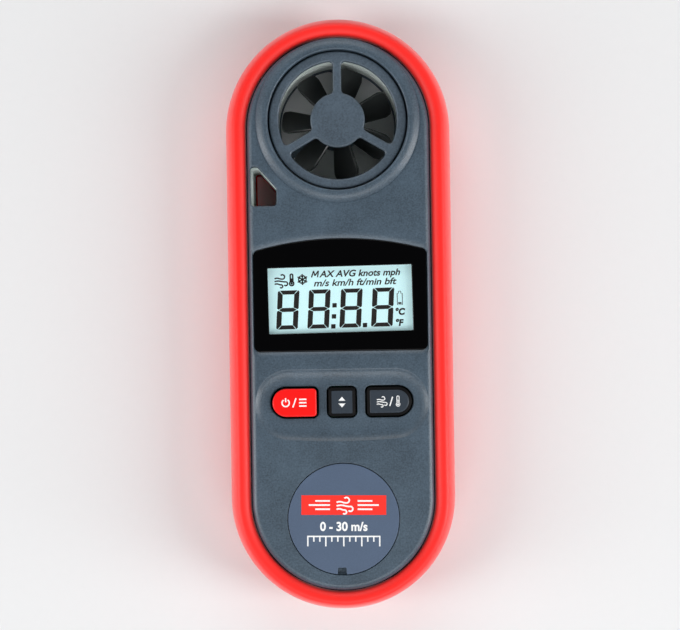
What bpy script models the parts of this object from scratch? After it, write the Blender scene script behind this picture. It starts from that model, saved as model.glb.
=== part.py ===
"""Handheld vane weather meter lying on its back: +Y towards the vane, +Z out of the front face.

The origin is the middle of the flat back. Sizes are in millimetres and become metres at MM.
"""

import math

import bmesh
import bpy

MM = 0.001
GAP = 0.3  # clearance between two pieces that seat on or in each other
OVERRUN = 1.0  # how far a cutter runs past the face it opens

# Case
BODY_LENGTH = 130.0
BODY_WIDTH = 49.5
FACE_Z = 18.8  # flat of the front face
PARTING_Z = 10.0  # where the two case halves meet
SHELL_WALL = 1.6
FACE_EDGE_RADIUS = 1.3
BACK_EDGE_RADIUS = 1.2

# Red bumper that wraps the two halves
RIM_WALL = 1.8
RIM_LIP_WIDTH = 4.7  # from the widest point in to the lip's edge
RIM_FRONT_LIP = (FACE_Z - 2.5, FACE_Z - 1.4)  # underside and edge height of the front lip
RIM_CREST_Z = FACE_Z - 0.2
RIM_BACK_LIP = (0.8, 2.9)

# Vane
VANE_INSET = 22.9  # from the top end of the case to the vane's axis
VANE_BORE = 15.2
VANE_RING_RADIUS = VANE_BORE + 2.55
VANE_RING_Z = FACE_Z + 1.2
VANE_SEAT_WALL = 1.4
CARTRIDGE_RADIUS = VANE_BORE - GAP
DUCT_RADIUS = CARTRIDGE_RADIUS - 1.8
GRILLE_OPENING_RADIUS = CARTRIDGE_RADIUS - 2.07
GRILLE_HUB_RADIUS = 5.92
GRILLE_THICKNESS = 1.6
SPOKE_WIDTH = 1.82
SPIDER_SPOKE_WIDTH = 1.5
SPIDER_THICKNESS = 1.4
VANE_LIP_RADIUS = VANE_BORE - 1.6
VANE_LIP_THICKNESS = 0.9
BLADE_COUNT = 7
BLADE_TIP_RADIUS = DUCT_RADIUS - 0.8
BLADE_HEIGHT = 5.2
BLADE_START = 22.7  # the first blade's middle, in degrees
BLADE_THICKNESS = 0.55
ROTOR_HUB_RADIUS = 4.6
ROTOR_HUB_Z = (6.8, 13.2)
SHAFT_RADIUS = 0.5
SHAFT_RUNNING_GAP = 0.12
BUSH_RADIUS = 1.6
BUSH_LENGTH = 1.6
MAGNET_RADIUS = 2.8
MAGNET_HEIGHT = 1.6
THERMISTOR_RADIUS = 0.9
THERMISTOR_X = -4.0
THERMISTOR_Z = 6.0

# Strap hole, left of the axis, below the vane
STRAP_LEFT_INSET = 5.9  # from the case's side to the hole
STRAP_WIDTH = 5.3
STRAP_BELOW_VANE = 18.4  # from the vane's axis down to the hole's lower side
STRAP_HEIGHT = 8.5
STRAP_CUT = (4.1, 4.7)  # the corner taken off beside the vane ring
STRAP_CORNER = 0.75
STRAP_WALL = 1.1
STRAP_WALL_AT_FACE = 0.7  # thinner where the face's own edge closes in
STRAP_RIM_PAD = 1.4

# Display
DISPLAY_Y = 3.2
LENS_WIDTH = 37.6
LENS_BOTTOM_Y = -8.0
LENS_SIDE_Y = 13.8
LENS_TOP_Y = 16.4
LENS_CORNER = 1.3
LENS_THICKNESS = 1.2
LENS_SINK = 0.6  # lens face below the front face
LENS_BEVEL = 1.3
LENS_LEDGE = 1.0
LCD_SIZE = (LENS_WIDTH - 4.2, 18.6, 1.8)
LCD_FRAME_WALL = 0.9
ZEBRA_WIDTH = 2.2
REFLECTOR_SIZE = (LCD_SIZE[0] - 1.0, LCD_SIZE[1] - 2 * ZEBRA_WIDTH - 1.6, 1.1)

# Keys
KEY_Y = -19.1
KEY_PITCH = 10.3
KEY_HEIGHT = 6.3
END_KEY_WIDTH = 9.8
MIDDLE_KEY_WIDTH = 5.9
KEY_TOP_Z = FACE_Z + 0.3
KEY_FLANGE = 0.7
KEY_TRAVEL = 0.6
DISH_SIZE = (36.6, 15.0)
DISH_Y = -19.7
DISH_DEPTH = 0.8
DISH_SLOPE = 1.2
SWITCH_SIDE = 6.0
SWITCH_HEIGHT = 3.4
PLUNGER_RADIUS = 1.7
PLUNGER_LENGTH = 1.8
STEM_RADIUS = 1.5

# Nameplate and cell
NAMEPLATE_INSET = 20.5  # from the bottom end of the case to the plate's centre
NAMEPLATE_RADIUS = 12.05
NAMEPLATE_THICKNESS = 0.7
NAMEPLATE_NOTCH = (2.0, 1.5)
NAMEPLATE_NOTCH_X = -0.5
CELL_INSET = 25.0
CELL_RADIUS = 10.0
CELL_THICKNESS = 3.2
DOOR_RADIUS = CELL_RADIUS + 2.0
DOOR_THICKNESS = 1.0
DOOR_LIFT = 0.2  # door face above the plane that the case rests on
DOOR_LEDGE = (1.5, 2.7)
DOOR_COLLAR = (CELL_RADIUS - 0.8, CELL_RADIUS + 0.4)
LUG_RADIUS = DOOR_RADIUS - 0.3
LUG_ANGLE = 30.0
LUG_COUNT = 3
DOOR_TURN = 45.0
COIN_SLOT = (14.0, 1.7, 0.5)
WELL_WALL = 1.4

# Board and fasteners
BOARD_BOTTOM_Z = 8.6
BOARD_THICKNESS = 1.2
BOARD_HALF_WIDTH = BODY_WIDTH / 2 - 6.25
BOARD_LOBE_RADIUS = 12.8
BOARD_TAB_HALF_WIDTH = 8.0
BOSS_RADIUS = 2.8
FRONT_BOSS_RADIUS = 2.5
UPPER_BOSS_INSET = (7.9, 45.5)  # from the case's side and from its top end
LOWER_BOSS_INSET = (8.25, 29.0)  # from the case's side and from its bottom end
SCREW_HEAD = (1.8, 1.3)
SCREW_SHANK = 0.9
SCREW_LENGTH = 12.0
HEAD_SEAT_Z = 4.9
BOARD_SHANK = 0.8
STANDOFF_RADIUS = 2.3

# Facets
HALF_TURN_STEPS = 20
ROUND_STEPS = 36
SMALL_STEPS = 12

# Worked out from the above
VANE_Y = BODY_LENGTH / 2 - VANE_INSET
NAMEPLATE_Y = NAMEPLATE_INSET - BODY_LENGTH / 2
CELL_Y = CELL_INSET - BODY_LENGTH / 2
FACE_INSET = RIM_LIP_WIDTH + GAP
SKIRT_INSET = RIM_WALL + GAP
BOARD_TOP_Z = BOARD_BOTTOM_Z + BOARD_THICKNESS
PAD_TOP_Z = FACE_Z - 0.9  # pads under the face run into it up to here
LENS_TOP_Z = FACE_Z - LENS_SINK
LENS_LEDGE_Z = LENS_TOP_Z - LENS_THICKNESS - GAP
GRILLE_TOP_Z = FACE_Z + 0.1
GRILLE_BOTTOM_Z = GRILLE_TOP_Z - GRILLE_THICKNESS
SPIDER_BOTTOM_Z = VANE_LIP_THICKNESS + GAP
SPIDER_TOP_Z = SPIDER_BOTTOM_Z + SPIDER_THICKNESS
UPPER_BOSS_Y = BODY_LENGTH / 2 - UPPER_BOSS_INSET[1]
LOWER_BOSS_Y = LOWER_BOSS_INSET[1] - BODY_LENGTH / 2
CASE_SCREWS = [
    (side * (BODY_WIDTH / 2 - inset), y)
    for inset, y in ((UPPER_BOSS_INSET[0], UPPER_BOSS_Y), (LOWER_BOSS_INSET[0], LOWER_BOSS_Y))
    for side in (-1, 1)
]
BOARD_SCREWS = [(0.0, 18.6), (3.0 - BOARD_HALF_WIDTH, -26.8), (BOARD_HALF_WIDTH - 3.0, -26.8)]
KEYS = {"power": -KEY_PITCH, "unit": 0.0, "mode": KEY_PITCH}


# ---------- scene and materials ----------


def clear_scene():
    for old in list(bpy.data.objects):
        bpy.data.objects.remove(old)
    collections = []
    for name in ("weather_meter", "cutters"):
        collection = bpy.data.collections.new(name)
        bpy.context.scene.collection.children.link(collection)
        collections.append(collection)
    return collections


def material(name, colour, roughness, metallic=0.0):
    made = bpy.data.materials.new(name)
    made.use_nodes = True
    shader = made.node_tree.nodes["Principled BSDF"]
    shader.inputs["Base Color"].default_value = (*colour, 1.0)
    shader.inputs["Roughness"].default_value = roughness
    shader.inputs["Metallic"].default_value = metallic
    return made


PARTS, CUTTERS = clear_scene()
CHARCOAL = material("charcoal_abs", (0.075, 0.09, 0.11), 0.55)
RED = material("red_rubber", (0.85, 0.02, 0.015), 0.5)
PALE = material("pale_abs", (0.55, 0.6, 0.58), 0.4)
BLACK = material("black_abs", (0.012, 0.013, 0.015), 0.45)
SLATE = material("slate_film", (0.1, 0.13, 0.18), 0.5)
GLOSS_BLACK = material("black_acrylic", (0.005, 0.005, 0.006), 0.05)
GLASS = material("lcd_glass", (0.6, 0.85, 0.83), 0.1)
WHITE = material("white_film", (0.8, 0.82, 0.8), 0.6)
RUBBER = material("zebra_rubber", (0.05, 0.05, 0.05), 0.7)
BOARD_GREEN = material("green_laminate", (0.02, 0.15, 0.06), 0.4)
STEEL = material("steel", (0.6, 0.6, 0.6), 0.25, 1.0)
BRASS = material("brass", (0.75, 0.55, 0.2), 0.3, 1.0)
MAGNET_GREY = material("ferrite", (0.06, 0.06, 0.065), 0.5)


# ---------- outlines, in millimetres ----------


def arc(centre, radius, start, end, steps):
    """Points from start to end degrees round a centre, both ends included."""
    angles = [math.radians(start + (end - start) * i / steps) for i in range(steps + 1)]
    return [(centre[0] + radius * math.cos(a), centre[1] + radius * math.sin(a)) for a in angles]


def circle(radius, centre=(0.0, 0.0), steps=ROUND_STEPS):
    return arc(centre, radius, 0, 360, steps)[:-1]


def stadium(width, length, centre=(0.0, 0.0), steps=HALF_TURN_STEPS):
    """Two half rounds joined by straights along the longer side."""
    x, y = centre
    if length >= width:
        straight = (length - width) / 2
        upper = arc((x, y + straight), width / 2, 0, 180, steps)
        return upper + arc((x, y - straight), width / 2, 180, 360, steps)
    straight = (width - length) / 2
    left = arc((x - straight, y), length / 2, 90, 270, steps)
    return left + arc((x + straight, y), length / 2, -90, 90, steps)


def case_outline(inset):
    return stadium(BODY_WIDTH - 2 * inset, BODY_LENGTH - 2 * inset)


def offset(points, distance):
    """The anticlockwise outline moved outwards by a distance, with sharp corners."""
    moved = []
    for i, (x, y) in enumerate(points):
        before, after = points[i - 1], points[(i + 1) % len(points)]
        ux, uy = unit(x - before[0], y - before[1])
        vx, vy = unit(after[0] - x, after[1] - y)
        nx, ny = uy + vy, -ux - vx
        reach = distance / (1 + ux * vx + uy * vy)
        moved.append((x + nx * reach, y + ny * reach))
    return moved


def unit(x, y):
    length = math.hypot(x, y)
    return x / length, y / length


def rounded(points, radius, steps=3, least_turn=25.0):
    """The outline with its real corners replaced by arcs, in either direction of travel."""
    result = []
    for i, (x, y) in enumerate(points):
        before, after = points[i - 1], points[(i + 1) % len(points)]
        ux, uy = unit(before[0] - x, before[1] - y)
        vx, vy = unit(after[0] - x, after[1] - y)
        inside = math.acos(max(-1.0, min(1.0, ux * vx + uy * vy)))
        if math.degrees(math.pi - inside) < least_turn:
            result.append((x, y))
            continue
        bx, by = unit(ux + vx, uy + vy)
        reach = radius / math.sin(inside / 2)
        cx, cy = x + bx * reach, y + by * reach
        tangent = radius / math.tan(inside / 2)
        start = math.atan2(y + uy * tangent - cy, x + ux * tangent - cx)
        end = math.atan2(y + vy * tangent - cy, x + vx * tangent - cx)
        turn = (end - start + math.pi) % (2 * math.pi) - math.pi
        result += arc((cx, cy), radius, math.degrees(start), math.degrees(start + turn), steps)
    return result


def box_outline(width, height, centre=(0.0, 0.0)):
    x, y, w, h = *centre, width / 2, height / 2
    return [(x - w, y - h), (x + w, y - h), (x + w, y + h), (x - w, y + h)]


def strap_corners():
    left, bottom = STRAP_LEFT_INSET - BODY_WIDTH / 2, VANE_Y - STRAP_BELOW_VANE
    right, top = left + STRAP_WIDTH, bottom + STRAP_HEIGHT
    return [
        (left, bottom),
        (right, bottom),
        (right, top - STRAP_CUT[1]),
        (right - STRAP_CUT[0], top),
        (left, top),
    ]


def strap_outline(grow=0.0):
    return rounded(offset(strap_corners(), grow), STRAP_CORNER + grow)


def strap_base_outline():
    """The wall round the bumper's pad, squared off where the floor's own edge ends."""
    limit = FACE_INSET - BODY_WIDTH / 2 + 0.2
    kept = [(x, y) for x, y in strap_outline(STRAP_RIM_PAD + SHELL_WALL) if x >= limit]
    return [(limit, kept[0][1]), *kept, (limit, kept[-1][1])]


def lens_outline(grow_x=0.0, grow_y=0.0):
    """A rectangle with a shallow arch for its top side."""
    half = LENS_WIDTH / 2 + grow_x
    rise = LENS_TOP_Y - LENS_SIDE_Y
    radius = (half * half + rise * rise) / (2 * rise)
    sweep = math.degrees(math.asin(half / radius))
    top = LENS_TOP_Y + grow_y
    arch = arc((0.0, top - radius), radius, 90 - sweep, 90 + sweep, 8)
    bottom = LENS_BOTTOM_Y - grow_y
    corners = [(-half, bottom), (half, bottom)]
    return rounded(corners + arch, LENS_CORNER + min(grow_x, grow_y), steps=3)


def key_outline(kind, grow=0.0):
    """Keys round off towards the ends of the row, and keep small corners elsewhere."""
    if kind == "unit":
        square = box_outline(MIDDLE_KEY_WIDTH + 2 * grow, KEY_HEIGHT + 2 * grow)
        return rounded(square, 0.8 + grow, steps=3)
    width, height = END_KEY_WIDTH + 2 * grow, KEY_HEIGHT + 2 * grow
    side = -1 if kind == "power" else 1
    start = 90 if side < 0 else -90
    nose = arc((side * (width - height) / 2, 0.0), height / 2, start, start + 180, 10)
    flat = -side * width / 2
    corners = [(flat, -height / 2), (flat, height / 2)]
    if side > 0:
        corners.reverse()
    return rounded(nose + corners, 0.8 + grow, steps=3)


def board_outline():
    """Wide under the display and keys, with a tab towards the vane and a lobe over the cell."""
    lobe = arc((0.0, CELL_Y), BOARD_LOBE_RADIUS, 180, 360, HALF_TURN_STEPS)
    step_y = BOARD_SCREWS[1][1] - STANDOFF_RADIUS - 1.6
    shoulder_y = UPPER_BOSS_Y - BOSS_RADIUS - 1.0
    tab_y = VANE_Y - VANE_BORE - VANE_SEAT_WALL - 1.0
    return [
        *lobe,
        (BOARD_LOBE_RADIUS, step_y),
        (BOARD_HALF_WIDTH, step_y),
        (BOARD_HALF_WIDTH, shoulder_y),
        (BOARD_TAB_HALF_WIDTH, shoulder_y),
        (BOARD_TAB_HALF_WIDTH, tab_y),
        (-BOARD_TAB_HALF_WIDTH, tab_y),
        (-BOARD_TAB_HALF_WIDTH, shoulder_y),
        (-BOARD_HALF_WIDTH, shoulder_y),
        (-BOARD_HALF_WIDTH, step_y),
        (-BOARD_LOBE_RADIUS, step_y),
    ]


def spoke_openings(hub, outer, spoke):
    """Three sectors between a hub and a ring, parted by parallel-sided spokes, the first straight up."""
    openings = []
    for start in (90, 210, 330):
        far = math.degrees(math.asin(spoke / 2 / outer))
        near = math.degrees(math.asin(spoke / 2 / hub))
        rim = arc((0, 0), outer, start + far, start + 120 - far, 14)
        root = arc((0, 0), hub, start + 120 - near, start + near, 8)
        openings.append(rounded(rim + root, 0.8, steps=3, least_turn=40.0))
    return openings


# ---------- solids ----------


def place(obj, paint, at, collection=None):
    for home in list(obj.users_collection):
        home.objects.unlink(obj)
    (collection or PARTS).objects.link(obj)
    obj.location = tuple(c * MM for c in at)
    obj.data.materials.clear()
    obj.data.materials.append(paint)
    return obj


def baked(obj, paint, at, collection=None, weld=0.002):
    """The object as its modifiers and curve settings leave it, as a plain mesh with its seams welded."""
    bpy.context.view_layer.update()
    graph = bpy.context.evaluated_depsgraph_get()
    mesh = bpy.data.meshes.new_from_object(obj.evaluated_get(graph))
    name = obj.name
    bpy.data.objects.remove(obj)
    work = bmesh.new()
    work.from_mesh(mesh)
    if weld:
        bmesh.ops.remove_doubles(work, verts=work.verts, dist=weld * MM)
        bmesh.ops.recalc_face_normals(work, faces=work.faces)
    work.to_mesh(mesh)
    work.free()
    mesh.name = name
    return place(bpy.data.objects.new(name, mesh), paint, at, collection)


def slab(name, loops, z0, z1, paint=None, at=(0.0, 0.0, 0.0), collection=None):
    """A flat outline with any holes, from height z0 to z1 over the place at."""
    curve = bpy.data.curves.new(name, "CURVE")
    curve.dimensions = "2D"
    curve.fill_mode = "BOTH"
    curve.extrude = (z1 - z0) / 2 * MM
    for loop in loops:
        spline = curve.splines.new("POLY")
        spline.points.add(len(loop) - 1)
        for point, (x, y) in zip(spline.points, loop):
            point.co = (x * MM, y * MM, 0.0, 1.0)
        spline.use_cyclic_u = True
    flat = bpy.data.objects.new(name, curve)
    PARTS.objects.link(flat)
    made = baked(flat, paint or CHARCOAL, at, collection)
    for vertex in made.data.vertices:
        vertex.co.z += (z0 + z1) / 2 * MM
    return made


def turned(name, profile, paint=None, at=(0.0, 0.0, 0.0), steps=ROUND_STEPS, ring=True, collection=None):
    """A profile of (radius, height) turned about the vertical through at. It runs down its outer side."""
    mesh = bpy.data.meshes.new(name)
    edges = [(i, i + 1) for i in range(len(profile) - 1)]
    if ring:
        edges.append((len(profile) - 1, 0))
    mesh.from_pydata([(r * MM, 0.0, z * MM) for r, z in profile], edges, [])
    obj = bpy.data.objects.new(name, mesh)
    PARTS.objects.link(obj)
    screw = obj.modifiers.new("turn", "SCREW")
    screw.steps = screw.render_steps = steps
    screw.use_merge_vertices = True
    screw.merge_threshold = 0.002 * MM
    return baked(obj, paint or CHARCOAL, at, collection)


def cylinder(name, radius, z0, z1, paint=None, at=(0.0, 0.0, 0.0), steps=ROUND_STEPS, collection=None):
    bpy.ops.mesh.primitive_cylinder_add(vertices=steps, radius=radius * MM, depth=(z1 - z0) * MM)
    obj = bpy.context.object
    obj.name = name
    for vertex in obj.data.vertices:
        vertex.co.z += (z0 + z1) / 2 * MM
    return place(obj, paint or CHARCOAL, at, collection)


def post(name, radius, z0, z1, x, y):
    """A slim round upright, for bosses and the holes in them."""
    return cylinder(name, radius, z0, z1, at=(x, y, 0.0), steps=SMALL_STEPS)


def block(name, size, paint=None, at=(0.0, 0.0, 0.0), bevel=0.0, collection=None):
    """A box of the given size centred on at, with its edges rounded by bevel."""
    bpy.ops.mesh.primitive_cube_add(size=1.0)
    obj = bpy.context.object
    obj.name = name
    for vertex in obj.data.vertices:
        vertex.co = [c * s * MM for c, s in zip(vertex.co, size)]
    if bevel:
        rounding = obj.modifiers.new("edges", "BEVEL")
        rounding.width = bevel * MM
        rounding.segments = 2
    return place(obj, paint or CHARCOAL, at, collection)


def lofted(name, lower, z0, upper, z1, collection=None):
    """A solid between two outlines with the same number of points, at two heights."""
    mesh = bpy.data.meshes.new(name)
    count = len(lower)
    points = [(x * MM, y * MM, z0 * MM) for x, y in lower]
    points += [(x * MM, y * MM, z1 * MM) for x, y in upper]
    sides = [(i, (i + 1) % count, (i + 1) % count + count, i + count) for i in range(count)]
    mesh.from_pydata(points, [], [*sides, tuple(range(count)), tuple(range(count, 2 * count))])
    work = bmesh.new()
    work.from_mesh(mesh)
    bmesh.ops.recalc_face_normals(work, faces=work.faces)
    work.to_mesh(mesh)
    work.free()
    return place(bpy.data.objects.new(name, mesh), CHARCOAL, (0.0, 0.0, 0.0), collection)


def round_edges_at(obj, z, radius, segments=2):
    """Rounds the outline's edges at one height with a weighted Bevel."""
    work = bmesh.new()
    work.from_mesh(obj.data)
    bmesh.ops.dissolve_limit(work, angle_limit=math.radians(1.0), verts=work.verts, edges=work.edges)
    weight = work.edges.layers.float.new("bevel_weight_edge")
    for edge in work.edges:
        level = all(abs(v.co.z - z * MM) < 0.01 * MM for v in edge.verts)
        if level and edge.calc_face_angle(0.0) > math.radians(60):
            edge[weight] = 1.0
    work.to_mesh(obj.data)
    work.free()
    bevel = obj.modifiers.new("edge_radius", "BEVEL")
    bevel.limit_method = "WEIGHT"
    bevel.width = radius * MM
    bevel.segments = segments


def combine(obj, other, operation):
    for home in list(other.users_collection):
        home.objects.unlink(other)
    CUTTERS.objects.link(other)
    other.hide_render = True
    other.display_type = "WIRE"
    step = obj.modifiers.new(other.name, "BOOLEAN")
    step.operation = operation
    step.object = other
    return obj


def cut(obj, *tools):
    for tool in tools:
        combine(obj, tool, "DIFFERENCE")
    return obj


def join(obj, *others):
    for other in others:
        combine(obj, other, "UNION")
    return obj


def finished(obj, paint):
    """Applies the modifiers in order and shades the round faces smooth."""
    made = baked(obj, paint, tuple(c / MM for c in obj.location), weld=0.0)
    made.data.shade_smooth()
    made.data.set_sharp_from_angle(angle=math.radians(35))
    return made


def axis_empty(name, at):
    empty = bpy.data.objects.new(name, None)
    PARTS.objects.link(empty)
    empty.location = tuple(c * MM for c in at)
    return empty


def hang(empty, *pieces):
    """Parents pieces to the empty on their joint's axis, leaving them where they are."""
    for piece in pieces:
        piece.parent = empty
        piece.location = piece.location - empty.location


# ---------- case ----------


def rim_profile():
    """The bumper's section as (distance in from the widest point, height), anticlockwise about its wall."""
    front, back = RIM_FRONT_LIP, RIM_BACK_LIP
    middle = PARTING_Z
    return [
        (RIM_LIP_WIDTH, front[0]),
        (RIM_LIP_WIDTH, front[1]),
        (3.9, RIM_CREST_Z - 0.35),
        (2.9, RIM_CREST_Z),
        (1.9, RIM_CREST_Z - 0.4),
        (0.9, RIM_CREST_Z - 2.0),
        (0.25, middle + 4.5),
        (0.0, middle),
        (0.25, middle - 4.5),
        (0.9, 3.2),
        (1.9, 1.5),
        (3.0, back[0] + 0.1),
        (RIM_LIP_WIDTH, back[0]),
        (RIM_LIP_WIDTH, back[1]),
        (RIM_WALL, back[1]),
        (RIM_WALL, front[0]),
    ]


def make_rim():
    """The section swept along the case's outline, then a pad round the strap hole on the back."""
    section = rim_profile()
    rows = [case_outline(inset) for inset, _ in section]
    count = len(rows[0])
    points = [
        (x * MM, y * MM, z * MM) for row, (_, z) in zip(rows, section) for x, y in row
    ]
    faces = []
    for i in range(len(section)):
        j = (i + 1) % len(section)
        for k in range(count):
            m = (k + 1) % count
            faces.append((i * count + k, i * count + m, j * count + m, j * count + k))
    mesh = bpy.data.meshes.new("rim_bumper")
    mesh.from_pydata(points, [], faces)
    work = bmesh.new()
    work.from_mesh(mesh)
    bmesh.ops.recalc_face_normals(work, faces=work.faces)
    work.to_mesh(mesh)
    work.free()
    rim = place(bpy.data.objects.new("rim_bumper", mesh), RED, (0.0, 0.0, 0.0))
    pad_top = RIM_BACK_LIP[1] - 0.2
    join(rim, slab("rim_strap_pad", [strap_outline(STRAP_RIM_PAD)], RIM_BACK_LIP[0] + 0.15, pad_top))
    cut(rim, slab("rim_strap_cut", [strap_outline()], -OVERRUN, pad_top + 0.1))
    return finished(rim, RED)


def make_front_shell():
    hollow_z = PARTING_Z - 5.0
    edge_z = PARTING_Z + GAP / 2
    step_z = RIM_FRONT_LIP[0] - GAP
    shell = slab("front_shell", [case_outline(SKIRT_INSET)], edge_z, step_z)
    crown = slab("face_block", [case_outline(FACE_INSET)], step_z - 4.0, FACE_Z)
    round_edges_at(crown, FACE_Z, FACE_EDGE_RADIUS)
    join(shell, crown)
    cut(
        shell,
        slab("skirt_hollow", [case_outline(SKIRT_INSET + SHELL_WALL)], hollow_z, step_z - SHELL_WALL),
        slab("face_hollow", [case_outline(FACE_INSET + SHELL_WALL)], hollow_z, FACE_Z - SHELL_WALL),
    )
    seat_outer = VANE_BORE + VANE_SEAT_WALL
    ring = [
        (VANE_BORE - 0.5, VANE_RING_Z - 0.9),
        (VANE_BORE + 0.45, VANE_RING_Z - 0.2),
        (seat_outer - 0.2, VANE_RING_Z),
        (VANE_RING_RADIUS - 0.3, VANE_RING_Z - 0.5),
        (VANE_RING_RADIUS, VANE_RING_Z - 1.5),
        (VANE_RING_RADIUS, FACE_Z - 1.0),
        (seat_outer, FACE_Z - 1.2),
        (seat_outer, edge_z),
        (VANE_BORE - 0.5, edge_z),
    ]
    pad_half = LENS_WIDTH / 2 + 0.5
    window_pad = box_outline(
        2 * pad_half, LENS_TOP_Y - LENS_BOTTOM_Y + 3.2, (0.0, (LENS_TOP_Y + LENS_BOTTOM_Y) / 2)
    )
    dish_pad = stadium(DISH_SIZE[0] + 0.6, DISH_SIZE[1] + 0.8, (0.0, DISH_Y))
    join(
        shell,
        slab("window_pad", [window_pad], LENS_LEDGE_Z - LENS_LEDGE, PAD_TOP_Z),
        slab("dish_pad", [dish_pad], FACE_Z - 2.5, PAD_TOP_Z),
        cylinder("plate_pad", NAMEPLATE_RADIUS + 1.2, FACE_Z - 2.5, PAD_TOP_Z, at=(0.0, NAMEPLATE_Y, 0.0)),
        turned("vane_seat", ring, at=(0.0, VANE_Y, 0.0)),
        slab("strap_wall", [strap_outline(STRAP_WALL)], edge_z, step_z - 0.5),
        slab("strap_wall_top", [strap_outline(STRAP_WALL_AT_FACE)], step_z - 1.0, PAD_TOP_Z),
    )
    for i, (x, y) in enumerate(CASE_SCREWS):
        join(shell, post(f"front_boss_{i}", FRONT_BOSS_RADIUS, edge_z, PAD_TOP_Z, x, y))
    window = rounded(box_outline(LCD_SIZE[0] - 1.0, LCD_SIZE[1] - 1.8, (0.0, DISPLAY_Y)), 0.6)
    slope_low = lens_outline(GAP, GAP)
    slope_high = lens_outline(GAP, LENS_BEVEL + GAP)
    dish_low = stadium(DISH_SIZE[0] - 2 * DISH_SLOPE, DISH_SIZE[1] - 2 * DISH_SLOPE, (0.0, DISH_Y))
    dish_high = stadium(DISH_SIZE[0] + 0.3, DISH_SIZE[1] + 0.3, (0.0, DISH_Y))
    cut(
        shell,
        cylinder("vane_bore", VANE_BORE, hollow_z, VANE_RING_Z + OVERRUN, at=(0.0, VANE_Y, 0.0)),
        slab("lens_seat", [lens_outline(GAP, GAP)], LENS_LEDGE_Z, FACE_Z + OVERRUN),
        lofted("lens_slope", slope_low, LENS_TOP_Z - 0.05, slope_high, FACE_Z + 0.15, CUTTERS),
        slab("lcd_window", [window], hollow_z, LENS_LEDGE_Z + OVERRUN),
        lofted("dish", dish_low, FACE_Z - DISH_DEPTH, dish_high, FACE_Z + 0.15, CUTTERS),
        cylinder("plate_seat", NAMEPLATE_RADIUS + GAP, FACE_Z - NAMEPLATE_THICKNESS - GAP, FACE_Z + OVERRUN,
                 at=(0.0, NAMEPLATE_Y, 0.0)),
        slab("strap_bore", [strap_outline()], hollow_z, FACE_Z + OVERRUN),
    )
    for kind, x in KEYS.items():
        outline = [key_outline(kind, GAP)]
        cut(shell, slab(f"{kind}_key_hole", outline, hollow_z, FACE_Z + OVERRUN, at=(x, KEY_Y, 0.0)))
    for i, (x, y) in enumerate(CASE_SCREWS):
        cut(shell, post(f"pilot_{i}", SCREW_SHANK + GAP, hollow_z, PAD_TOP_Z - 1.6, x, y))
    return finished(shell, CHARCOAL)


def thermistor_bore(name):
    """A hole from inside the case through the vane's seat and duct."""
    radius, start_y = THERMISTOR_RADIUS + GAP, VANE_Y - VANE_BORE - VANE_SEAT_WALL - OVERRUN
    bore = cylinder(name, radius, 0.0, VANE_BORE / 2, steps=SMALL_STEPS)
    bore.rotation_euler = (-math.pi / 2, 0.0, 0.0)
    bore.location = (THERMISTOR_X * MM, start_y * MM, THERMISTOR_Z * MM)
    return bore


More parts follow.
